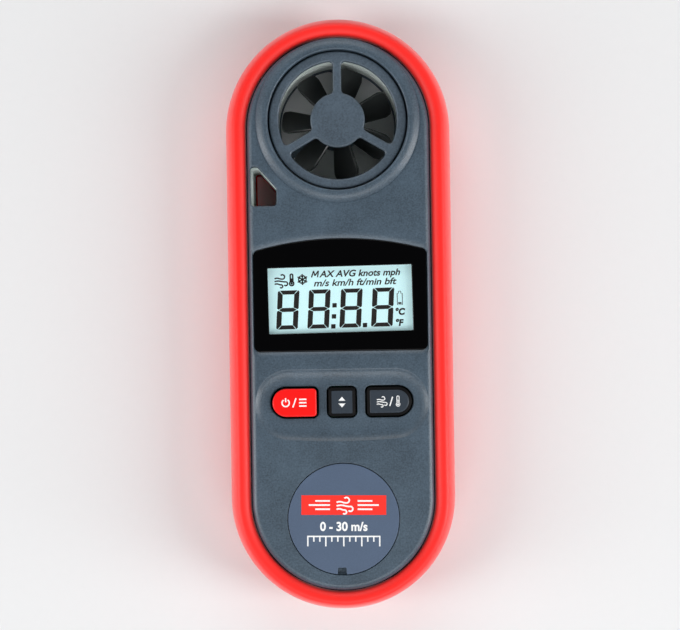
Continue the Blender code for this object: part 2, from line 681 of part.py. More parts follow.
def make_rear_shell():
    top_z = PARTING_Z + 5.0
    edge_z = PARTING_Z - GAP / 2
    step_z = RIM_BACK_LIP[1] + GAP
    shell = slab("rear_shell", [case_outline(SKIRT_INSET)], step_z, edge_z)
    floor = slab("floor_block", [case_outline(FACE_INSET)], 0.0, step_z + 3.0)
    round_edges_at(floor, 0.0, BACK_EDGE_RADIUS)
    join(shell, floor)
    cut(
        shell,
        slab("rear_skirt_hollow", [case_outline(SKIRT_INSET + SHELL_WALL)], step_z + SHELL_WALL, top_z),
        slab("floor_hollow", [case_outline(FACE_INSET + SHELL_WALL)], SHELL_WALL, top_z),
    )
    seat_outer = VANE_BORE + VANE_SEAT_WALL
    well_radius = DOOR_RADIUS + WELL_WALL + GAP
    well_top = BOARD_BOTTOM_Z - 1.0
    strap_roof = strap_outline(STRAP_RIM_PAD + SHELL_WALL)
    join(
        shell,
        cylinder("rear_vane_seat", seat_outer, SHELL_WALL / 2, edge_z, at=(0.0, VANE_Y, 0.0)),
        cylinder("cell_well", well_radius, SHELL_WALL / 2, well_top, at=(0.0, CELL_Y, 0.0)),
        slab("rear_strap_base", [strap_base_outline()], SHELL_WALL / 2, step_z + 0.5),
        slab("rear_strap_roof", [strap_roof], step_z, step_z + SHELL_WALL + 0.1),
        slab("rear_strap_wall", [strap_outline(STRAP_WALL)], SHELL_WALL / 2, edge_z),
    )
    for i, (x, y) in enumerate(CASE_SCREWS):
        join(shell, post(f"rear_boss_{i}", BOSS_RADIUS, SHELL_WALL / 2, edge_z, x, y))
    for i, (x, y) in enumerate(BOARD_SCREWS):
        join(shell, post(f"standoff_{i}", STANDOFF_RADIUS, SHELL_WALL / 2, BOARD_BOTTOM_Z - GAP, x, y))
    ledge_low, ledge_high = DOOR_LEDGE
    collar_bore = DOOR_COLLAR[1] + GAP
    lug_bore = LUG_RADIUS + GAP
    cut(
        shell,
        cylinder("rear_vane_lip", VANE_LIP_RADIUS, -OVERRUN, top_z, at=(0.0, VANE_Y, 0.0)),
        cylinder("rear_vane_bore", VANE_BORE, VANE_LIP_THICKNESS, top_z, at=(0.0, VANE_Y, 0.0)),
        cylinder("door_seat", DOOR_RADIUS + GAP, -OVERRUN, ledge_low, at=(0.0, CELL_Y, 0.0)),
        cylinder("collar_bore", collar_bore, -OVERRUN, top_z, at=(0.0, CELL_Y, 0.0)),
        cylinder("lug_bore", lug_bore, ledge_high, top_z, at=(0.0, CELL_Y, 0.0)),
        slab("rim_pad_seat", [strap_outline(STRAP_RIM_PAD + GAP)], -OVERRUN, step_z),
        slab("rear_strap_bore", [strap_outline()], -OVERRUN, top_z),
        thermistor_bore("seat_thermistor_bore"),
    )
    for i in range(LUG_COUNT):
        middle = 90 + DOOR_TURN + i * 360 / LUG_COUNT
        half = LUG_ANGLE / 2 + 3.0
        entry = arc((0, 0), lug_bore, middle - half, middle + half, 6)
        entry += arc((0, 0), DOOR_COLLAR[0], middle + half, middle - half, 6)
        cut(shell, slab(f"lug_entry_{i}", [entry], ledge_low - 0.5, ledge_high + 0.5, at=(0.0, CELL_Y, 0.0)))
    for i, (x, y) in enumerate(CASE_SCREWS):
        sink = post(f"head_sink_{i}", SCREW_HEAD[0] + GAP, -OVERRUN, HEAD_SEAT_Z, x, y)
        cut(shell, sink, post(f"screw_hole_{i}", SCREW_SHANK + GAP, -OVERRUN, top_z, x, y))
    for i, (x, y) in enumerate(BOARD_SCREWS):
        cut(shell, post(f"standoff_hole_{i}", BOARD_SHANK + GAP, 3.0, top_z, x, y))
    return finished(shell, CHARCOAL)


# ---------- vane ----------


def make_grille(name, z0, z1, opening, hub, spoke, boss_z, pocket):
    """A ring, three spokes and a hub whose boss holds a bush in a pocket on the rotor's side."""
    grille = slab(name, [circle(CARTRIDGE_RADIUS), *spoke_openings(hub, opening, spoke)], z0, z1,
                  at=(0.0, VANE_Y, 0.0))
    join(grille, post(name + "_boss", BUSH_RADIUS + GAP + 0.9, *sorted(boss_z), 0.0, VANE_Y))
    cut(grille, post(name + "_pocket", BUSH_RADIUS + GAP, *sorted(pocket), 0.0, VANE_Y))
    return finished(grille, CHARCOAL)


def make_duct(name, z0, z1):
    wall = [(CARTRIDGE_RADIUS, z1), (CARTRIDGE_RADIUS, z0), (DUCT_RADIUS, z0), (DUCT_RADIUS, z1)]
    return turned(name, wall, PALE, at=(0.0, VANE_Y, 0.0))


def blade_mesh():
    """One open sheet: a chord that twists and widens from hub to tip, its two tip corners cut round."""
    root, tip = ROTOR_HUB_RADIUS - 0.7, BLADE_TIP_RADIUS
    along, across = 6, 4
    middle = sum(ROTOR_HUB_Z) / 2
    points = []
    for i in range(along + 1):
        share = i / along
        radius = root + (tip - root) * share
        spread = 3.0 + 2.6 * share  # chord seen from the front
        for j in range(across + 1):
            t = j / across - 0.5
            reach = radius - 1.5 * max(0.0, share - 0.6) * (2 * abs(t)) ** 3 * 2.0
            angle = spread * t / radius
            points.append((
                reach * math.cos(angle) * MM,
                reach * math.sin(angle) * MM,
                (middle + BLADE_HEIGHT * t) * MM,
            ))
    row = across + 1
    faces = [
        (i * row + j, (i + 1) * row + j, (i + 1) * row + j + 1, i * row + j + 1)
        for i in range(along)
        for j in range(across)
    ]
    mesh = bpy.data.meshes.new("blade")
    mesh.from_pydata(points, [], faces)
    return mesh


def make_impeller():
    low, high = ROTOR_HUB_Z
    bore = SHAFT_RADIUS + SHAFT_RUNNING_GAP
    hub = [
        (bore, high),
        (ROTOR_HUB_RADIUS - 1.4, high),
        (ROTOR_HUB_RADIUS - 0.3, high - 0.7),
        (ROTOR_HUB_RADIUS, high - 2.0),
        (ROTOR_HUB_RADIUS, low),
        (MAGNET_RADIUS + GAP, low),
        (MAGNET_RADIUS + GAP, low + MAGNET_HEIGHT + GAP),
        (bore, low + MAGNET_HEIGHT + GAP),
    ]
    rotor = turned("impeller", hub, BLACK, at=(0.0, VANE_Y, 0.0), steps=28)
    sheet = blade_mesh()
    for i in range(BLADE_COUNT):
        blade = bpy.data.objects.new(f"blade_{i}", sheet)
        PARTS.objects.link(blade)
        blade.location = (0.0, VANE_Y * MM, 0.0)
        blade.rotation_euler = (0.0, 0.0, math.radians(BLADE_START + i * 360 / BLADE_COUNT))
        skin = blade.modifiers.new("thickness", "SOLIDIFY")
        skin.thickness = BLADE_THICKNESS * MM
        skin.offset = 0.0
        join(rotor, blade)
    return finished(rotor, BLACK)


def make_bush(name, z0, z1):
    bore = SHAFT_RADIUS + SHAFT_RUNNING_GAP
    wall = [(BUSH_RADIUS, z1), (BUSH_RADIUS, z0), (bore, z0), (bore, z1)]
    return turned(name, wall, BRASS, at=(0.0, VANE_Y, 0.0), steps=SMALL_STEPS)


def make_vane():
    edge = GAP / 2
    bush_z = GRILLE_BOTTOM_Z - GAP
    boss_front = bush_z - BUSH_LENGTH
    make_grille("front_grille", GRILLE_BOTTOM_Z, GRILLE_TOP_Z, GRILLE_OPENING_RADIUS, GRILLE_HUB_RADIUS,
                SPOKE_WIDTH, (GRILLE_BOTTOM_Z + 0.5, boss_front), (GRILLE_BOTTOM_Z, boss_front - OVERRUN))
    make_grille("rear_grille", SPIDER_BOTTOM_Z, SPIDER_TOP_Z, GRILLE_OPENING_RADIUS, GRILLE_HUB_RADIUS - 0.6,
                SPIDER_SPOKE_WIDTH, (SPIDER_TOP_Z - 0.5, SPIDER_TOP_Z + GAP + BUSH_LENGTH),
                (SPIDER_TOP_Z, SPIDER_TOP_Z + GAP + BUSH_LENGTH + OVERRUN))
    make_duct("vane_duct_front", PARTING_Z + edge, GRILLE_BOTTOM_Z - GAP)
    rear_duct = make_duct("vane_duct_rear", SPIDER_TOP_Z + GAP, PARTING_Z - edge)
    finished(cut(rear_duct, thermistor_bore("duct_thermistor_bore")), PALE)
    make_bush("front_bush", bush_z - BUSH_LENGTH, bush_z)
    make_bush("rear_bush", SPIDER_TOP_Z + GAP, SPIDER_TOP_Z + GAP + BUSH_LENGTH)
    axis = axis_empty("vane_axis", (0.0, VANE_Y, 0.0))
    rotor = make_impeller()
    shaft = cylinder("impeller_shaft", SHAFT_RADIUS, SPIDER_TOP_Z + 0.5, bush_z - 0.2, STEEL,
                     at=(0.0, VANE_Y, 0.0), steps=16)
    bore = SHAFT_RADIUS + SHAFT_RUNNING_GAP
    low = ROTOR_HUB_Z[0]
    high = low + MAGNET_HEIGHT
    ring = [(MAGNET_RADIUS, high), (MAGNET_RADIUS, low), (bore, low), (bore, high)]
    magnet = turned("rotor_magnet", ring, MAGNET_GREY, at=(0.0, VANE_Y, 0.0), steps=SMALL_STEPS)
    hang(axis, rotor, shaft, magnet)


# ---------- display ----------


def make_display():
    slab("display_lens", [lens_outline()], LENS_TOP_Z - LENS_THICKNESS, LENS_TOP_Z, GLOSS_BLACK)
    glass_top = LENS_LEDGE_Z - LENS_LEDGE - GAP
    glass_bottom = glass_top - LCD_SIZE[2]
    block("lcd_glass", LCD_SIZE, GLASS, (0.0, DISPLAY_Y, (glass_top + glass_bottom) / 2), 0.15)
    reflector_z = glass_bottom - GAP - REFLECTOR_SIZE[2] / 2
    block("lcd_reflector", REFLECTOR_SIZE, WHITE, (0.0, DISPLAY_Y, reflector_z))
    strip_low, strip_high = BOARD_TOP_Z + GAP, glass_bottom - GAP
    strip_y = LCD_SIZE[1] / 2 - ZEBRA_WIDTH / 2
    for name, side in (("upper", 1), ("lower", -1)):
        size = (REFLECTOR_SIZE[0], ZEBRA_WIDTH, strip_high - strip_low)
        middle = (0.0, DISPLAY_Y + side * strip_y, (strip_low + strip_high) / 2)
        block(f"zebra_strip_{name}", size, RUBBER, middle)
    inner = (LCD_SIZE[0] + 2 * GAP, LCD_SIZE[1] + 2 * GAP)
    outer = (inner[0] + 2 * LCD_FRAME_WALL, inner[1] + 2 * LCD_FRAME_WALL)
    walls = [box_outline(*outer), box_outline(*inner)]
    frame = slab("lcd_frame", walls, BOARD_TOP_Z + GAP, glass_top, BLACK, (0.0, DISPLAY_Y, 0.0))
    deck = [box_outline(inner[0] + LCD_FRAME_WALL, REFLECTOR_SIZE[1] - 0.4)]
    join(frame, slab("frame_deck", deck, BOARD_TOP_Z + GAP, reflector_z - REFLECTOR_SIZE[2] / 2 - GAP,
                     at=(0.0, DISPLAY_Y, 0.0)))
    finished(frame, BLACK)


# ---------- keys ----------


def make_keys():
    underside = FACE_Z - 2.5
    flange_top = underside - GAP
    flange_bottom = flange_top - 0.9
    plunger_top = BOARD_TOP_Z + GAP + SWITCH_HEIGHT + KEY_TRAVEL
    paints = {"power": RED, "unit": BLACK, "mode": BLACK}
    for kind, x in KEYS.items():
        centre = (x, KEY_Y, 0.0)
        axis = axis_empty(f"{kind}_key_axis", centre)
        cap = slab(f"{kind}_button", [key_outline(kind)], flange_bottom, KEY_TOP_Z, paints[kind], centre)
        round_edges_at(cap, KEY_TOP_Z, 0.6, 2)
        skirt = [key_outline(kind, KEY_FLANGE)]
        stem_ends = (plunger_top + GAP, flange_bottom + 0.5)
        join(
            cap,
            slab(f"{kind}_flange", skirt, flange_bottom - 0.05, flange_top, at=centre),
            cylinder(f"{kind}_stem", STEM_RADIUS, *stem_ends, at=centre, steps=SMALL_STEPS),
        )
        cap = finished(cap, paints[kind])
        plunger = cylinder(f"{kind}_plunger", PLUNGER_RADIUS, plunger_top - PLUNGER_LENGTH, plunger_top,
                           WHITE, centre, SMALL_STEPS)
        hang(axis, cap, plunger)
        switch_z = BOARD_TOP_Z + GAP + SWITCH_HEIGHT / 2
        can = (SWITCH_SIDE, SWITCH_SIDE, SWITCH_HEIGHT)
        switch = block(f"{kind}_switch", can, STEEL, (x, KEY_Y, switch_z))
        floor = plunger_top - PLUNGER_LENGTH - KEY_TRAVEL - 0.2
        well = cylinder(f"{kind}_switch_well", PLUNGER_RADIUS + GAP, floor, plunger_top + OVERRUN,
                        at=centre, steps=SMALL_STEPS)
        cut(switch, well)
        finished(switch, STEEL)


# ---------- nameplate, cell and door ----------


def make_nameplate():
    top = FACE_Z
    centre = (0.0, NAMEPLATE_Y, 0.0)
    plate = cylinder("nameplate", NAMEPLATE_RADIUS, top - NAMEPLATE_THICKNESS, top, at=centre, steps=64)
    width, depth = NAMEPLATE_NOTCH
    foot = (NAMEPLATE_NOTCH_X, NAMEPLATE_Y - NAMEPLATE_RADIUS, top)
    notch = block("nameplate_notch", (width, 2 * depth, 4.0), at=foot)
    cut(plate, notch)
    return finished(plate, SLATE)


def lug(name, middle, z0, z1):
    half = LUG_ANGLE / 2
    sector = arc((0, 0), LUG_RADIUS, middle - half, middle + half, 5)
    sector += arc((0, 0), DOOR_COLLAR[1] - 0.5, middle + half, middle - half, 5)
    return slab(name, [sector], z0, z1, at=(0.0, CELL_Y, 0.0))


def make_door():
    """Disc with a coin slot, and a collar whose three lugs turn in over the case's ledge."""
    face_z, inner_z = DOOR_LIFT, DOOR_LIFT + DOOR_THICKNESS
    collar_top = DOOR_LEDGE[1] + 1.2
    door = cylinder("battery_door", DOOR_RADIUS, face_z, inner_z, at=(0.0, CELL_Y, 0.0))
    inside, outside = DOOR_COLLAR
    collar = [(outside, collar_top), (outside, inner_z - 0.4), (inside, inner_z - 0.4), (inside, collar_top)]
    join(door, turned("door_collar", collar, at=(0.0, CELL_Y, 0.0)))
    for i in range(LUG_COUNT):
        middle = 90 + i * 360 / LUG_COUNT
        join(door, lug(f"door_lug_{i}", middle, DOOR_LEDGE[1] + GAP, collar_top))
    length, width, depth = COIN_SLOT
    cut(door, block("coin_slot", (length, width, 2 * depth), at=(0.0, CELL_Y, face_z)))
    door = finished(door, CHARCOAL)
    hang(axis_empty("door_axis", (0.0, CELL_Y, 0.0)), door)
    return collar_top


def make_cell(collar_top):
    low = collar_top + GAP
    high = low + CELL_THICKNESS
    can = [
        (0.0, high),
        (CELL_RADIUS - 1.3, high),
        (CELL_RADIUS - 1.1, high - 0.5),
        (CELL_RADIUS, high - 0.7),
        (CELL_RADIUS, low + 0.3),
        (CELL_RADIUS - 0.3, low),
        (0.0, low),
    ]
    turned("coin_cell", can, STEEL, at=(0.0, CELL_Y, 0.0), ring=False)
    holder_high = BOARD_BOTTOM_Z - GAP
    inside, outside = CELL_RADIUS + GAP, LUG_RADIUS - 0.1
    wall = [circle(outside), circle(inside)]
    holder = slab("cell_holder", wall, low + 0.2, holder_high, BLACK, (0.0, CELL_Y, 0.0))
    slot = block("clip_slot", (3.4, 4.0, 20.0), at=(0.0, CELL_Y + CELL_RADIUS + 0.7, low + 8.0))
    cut(holder, slot)
    finished(holder, BLACK)
    clip_z = (low + 0.6, holder_high)
    block("cell_contact_positive", (2.6, 0.5, clip_z[1] - clip_z[0]), BRASS,
          (0.0, CELL_Y + CELL_RADIUS + GAP + 0.35, sum(clip_z) / 2))
    leaf_z = (high + 0.2, BOARD_BOTTOM_Z - 0.2)
    block("cell_contact_negative", (9.0, 3.0, leaf_z[1] - leaf_z[0]), BRASS, (0.0, CELL_Y, sum(leaf_z) / 2))


# ---------- board and fasteners ----------


def make_board():
    holes = [circle(BOARD_SHANK + GAP, at, SMALL_STEPS) for at in BOARD_SCREWS]
    slab("main_board", [board_outline(), *holes], BOARD_BOTTOM_Z, BOARD_TOP_Z, BOARD_GREEN)
    dome = [(0.0, 0.0), (5.0, 0.0), (4.4, -0.6), (2.6, -1.1), (0.0, -1.3)]
    turned("controller_chip", dome, BLACK, at=(0.0, 2.0, BOARD_BOTTOM_Z - 0.2), steps=24, ring=False)
    block("clock_crystal", (2.2, 6.0, 1.8), STEEL, (9.5, 0.0, BOARD_BOTTOM_Z - 0.2 - 0.9), 0.4)
    tab_y = VANE_Y - VANE_BORE - VANE_SEAT_WALL - 1.0
    block("hall_sensor", (3.0, 2.6, 1.1), BLACK, (4.6, tab_y - 1.5, BOARD_TOP_Z + 0.2 + 0.55))


def make_thermistor():
    """A bead that reaches through the vane's seat and duct, and its lead back to the board's tab."""
    z = THERMISTOR_Z
    tip_y = VANE_Y - DUCT_RADIUS + 0.25
    end_y = VANE_Y - VANE_BORE - VANE_SEAT_WALL - 1.6
    bead = cylinder("air_thermistor", THERMISTOR_RADIUS, 0.0, tip_y - end_y, BLACK, steps=16)
    bead.rotation_euler = (-math.pi / 2, 0.0, 0.0)
    bead.location = (THERMISTOR_X * MM, end_y * MM, z * MM)
    start = end_y - 0.3
    path = [(start, z), (start - 0.9, z + 0.1), (start - 1.6, z + 0.7), (start - 2.0, z + 1.5)]
    path.append((start - 2.1, BOARD_BOTTOM_Z - GAP))
    curve = bpy.data.curves.new("thermistor_lead", "CURVE")
    curve.dimensions = "3D"
    curve.bevel_depth = 0.35 * MM
    curve.bevel_resolution = 2
    curve.use_fill_caps = True
    spline = curve.splines.new("POLY")
    spline.points.add(len(path) - 1)
    for point, (y, height) in zip(spline.points, path):
        point.co = (THERMISTOR_X * MM, y * MM, height * MM, 1.0)
    lead = bpy.data.objects.new("thermistor_lead", curve)
    PARTS.objects.link(lead)
    baked(lead, STEEL, (0.0, 0.0, 0.0))


def make_screws():
    head_radius, head_height = SCREW_HEAD
    for i, (x, y) in enumerate(CASE_SCREWS):
        low = HEAD_SEAT_Z - GAP - head_height
        shape = [
            (0.0, low + SCREW_LENGTH),
            (SCREW_SHANK, low + SCREW_LENGTH - 0.8),
            (SCREW_SHANK, low + head_height),
            (head_radius, low + head_height),
            (head_radius, low),
            (0.0, low),
        ]
        turned(f"case_screw_{i + 1}", shape, STEEL, (x, y, 0.0), 16, ring=False)
    for i, (x, y) in enumerate(BOARD_SCREWS):
        seat = BOARD_TOP_Z + 0.2
        shape = [
            (0.0, seat + 1.1),
            (1.3, seat + 1.1),
            (1.8, seat + 0.5),
            (1.8, seat),
            (BOARD_SHANK, seat),
            (BOARD_SHANK, 4.4),
            (0.0, 3.6),
        ]
        turned(f"board_screw_{i + 1}", shape, STEEL, (x, y, 0.0), 16, ring=False)


def main():
    make_rim()
    make_front_shell()
    make_rear_shell()
    make_vane()
    make_display()
    make_keys()
    make_nameplate()
    make_cell(make_door())
    make_board()
    make_thermistor()
    make_screws()


main()
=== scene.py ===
# Pocket vane anemometer, lying face up: +Y runs up the case to the vane, +Z out of its face.
# Lengths in the settings are millimetres.
import math

import bmesh
import bpy
import numpy as np
from mathutils import Matrix, Vector


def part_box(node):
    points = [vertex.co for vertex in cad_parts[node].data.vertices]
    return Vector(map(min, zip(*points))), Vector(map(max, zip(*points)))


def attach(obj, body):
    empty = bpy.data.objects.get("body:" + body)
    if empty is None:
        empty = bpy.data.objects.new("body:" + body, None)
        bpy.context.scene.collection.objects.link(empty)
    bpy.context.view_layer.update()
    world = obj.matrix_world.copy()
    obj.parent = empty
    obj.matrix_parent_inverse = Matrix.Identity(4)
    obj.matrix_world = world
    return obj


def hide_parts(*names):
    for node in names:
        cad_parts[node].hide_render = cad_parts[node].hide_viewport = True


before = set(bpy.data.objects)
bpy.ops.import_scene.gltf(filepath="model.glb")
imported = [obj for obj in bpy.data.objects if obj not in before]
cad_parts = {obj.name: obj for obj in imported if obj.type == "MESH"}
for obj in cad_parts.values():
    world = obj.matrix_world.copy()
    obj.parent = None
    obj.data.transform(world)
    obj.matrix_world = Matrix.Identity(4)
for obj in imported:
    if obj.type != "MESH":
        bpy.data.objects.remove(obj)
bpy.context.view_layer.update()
scene = bpy.context.scene
mm = 0.001
print("frame loaded:", len(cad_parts), "nodes")


# small tools

def hexColour(text):
    parts = [int(text[i:i + 2], 16) / 255 for i in (1, 3, 5)]
    linear = [c / 12.92 if c <= 0.04045 else ((c + 0.055) / 1.055) ** 2.4 for c in parts]
    return (*linear, 1.0)


def addNode(tree, kind, settings=None, links=None):
    node = tree.nodes.new(kind)
    for key, value in (settings or {}).items():  # inputs have capital letters, properties don't
        if isinstance(key, int) or key[0].isupper():
            node.inputs[key].default_value = value
        else:
            setattr(node, key, value)
    for key, socket in (links or {}).items():
        tree.links.new(socket, node.inputs[key])
    return node


def spanOf(node):  # a CAD node's lowest and highest corner, in mm
    low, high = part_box(node)
    return [c / mm for c in low], [c / mm for c in high]


def middleOf(node):
    low, high = spanOf(node)
    return [(a + b) / 2 for a, b in zip(low, high)]


# outlines, as lists of (x, y)

def arcPoints(cx, cy, radius, start, end, steps):
    angles = [math.radians(start + (end - start) * i / steps) for i in range(steps + 1)]
    return [(cx + radius * math.cos(a), cy + radius * math.sin(a)) for a in angles]


def circlePoints(radius, cx=0.0, cy=0.0, steps=128):
    return arcPoints(cx, cy, radius, 0, 360, steps)[:-1]


def unitOf(x, y):
    length = math.hypot(x, y)
    return x / length, y / length


def growOutline(points, distance):  # anticlockwise outline moved outwards
    grown = []
    for i, (x, y) in enumerate(points):
        before, after = points[i - 1], points[(i + 1) % len(points)]
        ux, uy = unitOf(x - before[0], y - before[1])
        vx, vy = unitOf(after[0] - x, after[1] - y)
        reach = distance / (1 + ux * vx + uy * vy)
        grown.append((x + (uy + vy) * reach, y - (ux + vx) * reach))
    return grown


def cornerOf(points, i):  # the two unit sides that leave a point, and the angle between them
    x, y = points[i]
    before, after = points[i - 1], points[(i + 1) % len(points)]
    u, v = unitOf(before[0] - x, before[1] - y), unitOf(after[0] - x, after[1] - y)
    return u, v, math.acos(max(-1.0, min(1.0, u[0] * v[0] + u[1] * v[1])))


def roundCorners(points, radius, steps=8, leastTurn=25.0):
    sharp = {}
    for i in range(len(points)):
        inside = cornerOf(points, i)[2]
        if math.degrees(math.pi - inside) > leastTurn:
            sharp[points[i]] = radius / math.tan(inside / 2)
    clear = [p for p in points if p in sharp or all(math.dist(p, q) > 1.1 * r for q, r in sharp.items())]
    result = []
    for i, (x, y) in enumerate(clear):
        if (x, y) not in sharp:
            result.append((x, y))
            continue
        u, v, inside = cornerOf(clear, i)
        bx, by = unitOf(u[0] + v[0], u[1] + v[1])
        reach, tangent = radius / math.sin(inside / 2), radius / math.tan(inside / 2)
        cx, cy = x + bx * reach, y + by * reach
        start = math.atan2(y + u[1] * tangent - cy, x + u[0] * tangent - cx)
        end = math.atan2(y + v[1] * tangent - cy, x + v[0] * tangent - cx)
        turn = (end - start + math.pi) % (2 * math.pi) - math.pi
        result += arcPoints(cx, cy, radius, math.degrees(start), math.degrees(start + turn), steps)
    return result


def boxOutline(width, height, cx=0.0, cy=0.0):
    w, h = width / 2, height / 2
    return [(cx - w, cy - h), (cx + w, cy - h), (cx + w, cy + h), (cx - w, cy + h)]


# solids

def linkMesh(name, mesh, material=None):
    made = bpy.data.objects.new(name, mesh)
    scene.collection.objects.link(made)
    if material is not None:
        mesh.materials.clear()
        mesh.materials.append(material)
    return made


def mergeDoubles(mesh, reach=0.0005):  # and turns every face outwards
    work = bmesh.new()
    work.from_mesh(mesh)
    bmesh.ops.remove_doubles(work, verts=work.verts, dist=reach * mm)
    bmesh.ops.recalc_face_normals(work, faces=work.faces)
    work.to_mesh(mesh)
    work.free()


def meshOf(name, points, faces, material=None):  # points in mm
    mesh = bpy.data.meshes.new(name)
    mesh.from_pydata([(x * mm, y * mm, z * mm) for x, y, z in points], [], faces)
    mergeDoubles(mesh)
    return linkMesh(name, mesh, material)


def rowFaces(count, rows, wrap=False):  # quads between neighbouring rows, and back to the first where they wrap
    faces = []
    for i in range(rows if wrap else rows - 1):
        here, there = i * count, (i + 1) % rows * count
        for k in range(count):
            m = (k + 1) % count
            faces.append((here + k, here + m, there + m, there + k))
    return faces


def loftSolid(name, rows, material=None, closed=True):  # rows of (outline, height), bottom to top
    count = len(rows[0][0])
    assert all(len(outline) == count for outline, _ in rows), name
    points = [(x, y, z) for outline, z in rows for x, y in outline]
    faces = rowFaces(count, len(rows))
    if closed:
        faces += [tuple(range(count)), tuple(range((len(rows) - 1) * count, len(rows) * count))]
    return meshOf(name, points, faces, material)


def ringSolid(name, rows, material=None):  # rows of (outline, height) that come back to the first
    points = [(x, y, z) for outline, z in rows for x, y in outline]
    return meshOf(name, points, rowFaces(len(rows[0][0]), len(rows), wrap=True), material)


def lathe(name, profile, cx, cy, material=None, steps=128, ring=True):  # profile of (radius, height)
    rows = [(circlePoints(radius, cx, cy, steps), z) for radius, z in profile]
    return ringSolid(name, rows, material) if ring else loftSolid(name, rows, material, closed=False)


def evaluatedMesh(piece):
    bpy.context.view_layer.update()
    return bpy.data.meshes.new_from_object(piece.evaluated_get(bpy.context.evaluated_depsgraph_get()))


def meshOfCurve(curve):
    holder = bpy.data.objects.new("curveHolder", curve)
    scene.collection.objects.link(holder)
    mesh = evaluatedMesh(holder)
    bpy.data.objects.remove(holder)
    return mesh


def plate(name, loops, low, high, edge, material, resolution=3):  # flat outline with rounded edges
    curve = bpy.data.curves.new(name, "CURVE")
    curve.dimensions = "2D"
    curve.fill_mode = "BOTH"
    curve.extrude = ((high - low) / 2 - edge) * mm
    curve.bevel_depth = edge * mm
    curve.bevel_resolution = resolution
    curve.offset = -edge * mm
    for loop in loops:
        spline = curve.splines.new("POLY")
        spline.points.add(len(loop) - 1)
        for point, (x, y) in zip(spline.points, loop):
            point.co = (x * mm, y * mm, 0.0, 1.0)
        spline.use_cyclic_u = True
    mesh = meshOfCurve(curve)
    mergeDoubles(mesh)
    mesh.transform(Matrix.Translation((0, 0, (low + high) / 2 * mm)))
    mesh.name = name
    return linkMesh(name, mesh, material)


def settle(piece):  # modifiers become part of the mesh
    mesh = evaluatedMesh(piece)
    piece.modifiers.clear()
    piece.data = mesh
    return piece


def cutAway(piece, cutters):
    group = bpy.data.collections.new(piece.name + "Cutters")
    for cutter in cutters:
        group.objects.link(cutter)
    step = piece.modifiers.new("cuts", "BOOLEAN")
    step.operand_type = "COLLECTION"
    step.collection = group
    step.solver = "EXACT"
    settle(piece)
    for cutter in cutters:
        bpy.data.objects.remove(cutter)
    bpy.data.collections.remove(group)
    return piece


def joinInto(piece, others):  # several closed bodies in one mesh
    work = bmesh.new()
    work.from_mesh(piece.data)
    for other in others:
        work.from_mesh(other.data)
        bpy.data.objects.remove(other)
    work.to_mesh(piece.data)
    work.free()
    return piece


def smoothOver(piece, angle=35.0):  # smooth shading up to this angle, and flat faces stay flat
    piece.data.shade_smooth()
    piece.data.set_sharp_from_angle(angle=math.radians(angle))
    step = piece.modifiers.new("normals", "WEIGHTED_NORMAL")
    step.keep_sharp = True
    return settle(piece)


def hand(piece, body, slot, *nodes):  # a finished piece goes to its body and stands for its CAD nodes
    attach(piece, body)
    if nodes:
        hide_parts(*nodes)
    return piece


# materials

def finish(name, colour, roughness, grain=0.3, bump=0.04, mottle=0.08, patch=6.0, **shader):
    # grain is the texture's pitch, patch that of its slow shade drift and bump the relief's depth, all in mm
    made = bpy.data.materials.new(name)
    made.use_nodes = True
    tree = made.node_tree
    tree.nodes.clear()
    place = addNode(tree, "ShaderNodeTexCoord")
    fine = addNode(tree, "ShaderNodeTexNoise", {"Scale": 1 / (grain * mm), "Detail": 2.0, "Roughness": 0.55},
                   {"Vector": place.outputs["Object"]})
    slow = addNode(tree, "ShaderNodeTexNoise", {"Scale": 1 / (patch * mm), "Detail": 3.0},
                   {"Vector": place.outputs["Object"]})
    drift = addNode(tree, "ShaderNodeMath", {"operation": "MULTIPLY", 1: 0.5}, {0: slow.outputs["Fac"]})
    shade = addNode(tree, "ShaderNodeMath", {"operation": "ADD"},
                    {0: fine.outputs["Fac"], 1: drift.outputs[0]})
    base = hexColour(colour)[:3]
    ramp = addNode(tree, "ShaderNodeValToRGB", {}, {"Fac": shade.outputs[0]})
    dark, pale = ramp.color_ramp.elements
    dark.position, dark.color = 0.5, (*[c * (1 - mottle) for c in base], 1)
    pale.position, pale.color = 1.0, (*[min(1, c * (1 + mottle)) for c in base], 1)
    smoothest, dullest = max(0.02, roughness - 0.05), roughness + 0.05
    rough = addNode(tree, "ShaderNodeMapRange", {"To Min": smoothest, "To Max": dullest},
                    {"Value": fine.outputs["Fac"]})
    settings = {key.replace("_", " ").title().replace("Ior", "IOR"): value for key, value in shader.items()}
    surface = addNode(tree, "ShaderNodeBsdfPrincipled", settings,
                      {"Base Color": ramp.outputs["Color"], "Roughness": rough.outputs["Result"]})
    if bump:
        relief = addNode(tree, "ShaderNodeBump", {"Strength": 0.6, "Distance": bump * mm},
                         {"Height": fine.outputs["Fac"]})
        tree.links.new(relief.outputs["Normal"], surface.inputs["Normal"])
    addNode(tree, "ShaderNodeOutputMaterial", {}, {"Surface": surface.outputs["BSDF"]})
    return made


# spark-eroded ABS, injection moulded: an even fine grain with a soft sheen (real grain 0.1 mm, drawn at 0.36)
sparkTexture = {"grain": 0.36, "bump": 0.08, "mottle": 0.32, "patch": 7.0, "ior": 1.53}
caseAbs = finish("sparkTexturedAbsCharcoal", "#465562", 0.37, **sparkTexture)
grilleAbs = finish("sparkTexturedAbsGrille", "#475460", 0.4, **sparkTexture)
# overmoulded TPE rubber: matt, a little bloom at grazing angles
bumperRubber = finish("overmouldedTpeRed", "#FF190F", 0.5, grain=0.45, bump=0.03, mottle=0.05, patch=14.0,
                      ior=1.5, sheen_weight=0.35, sheen_roughness=0.45)
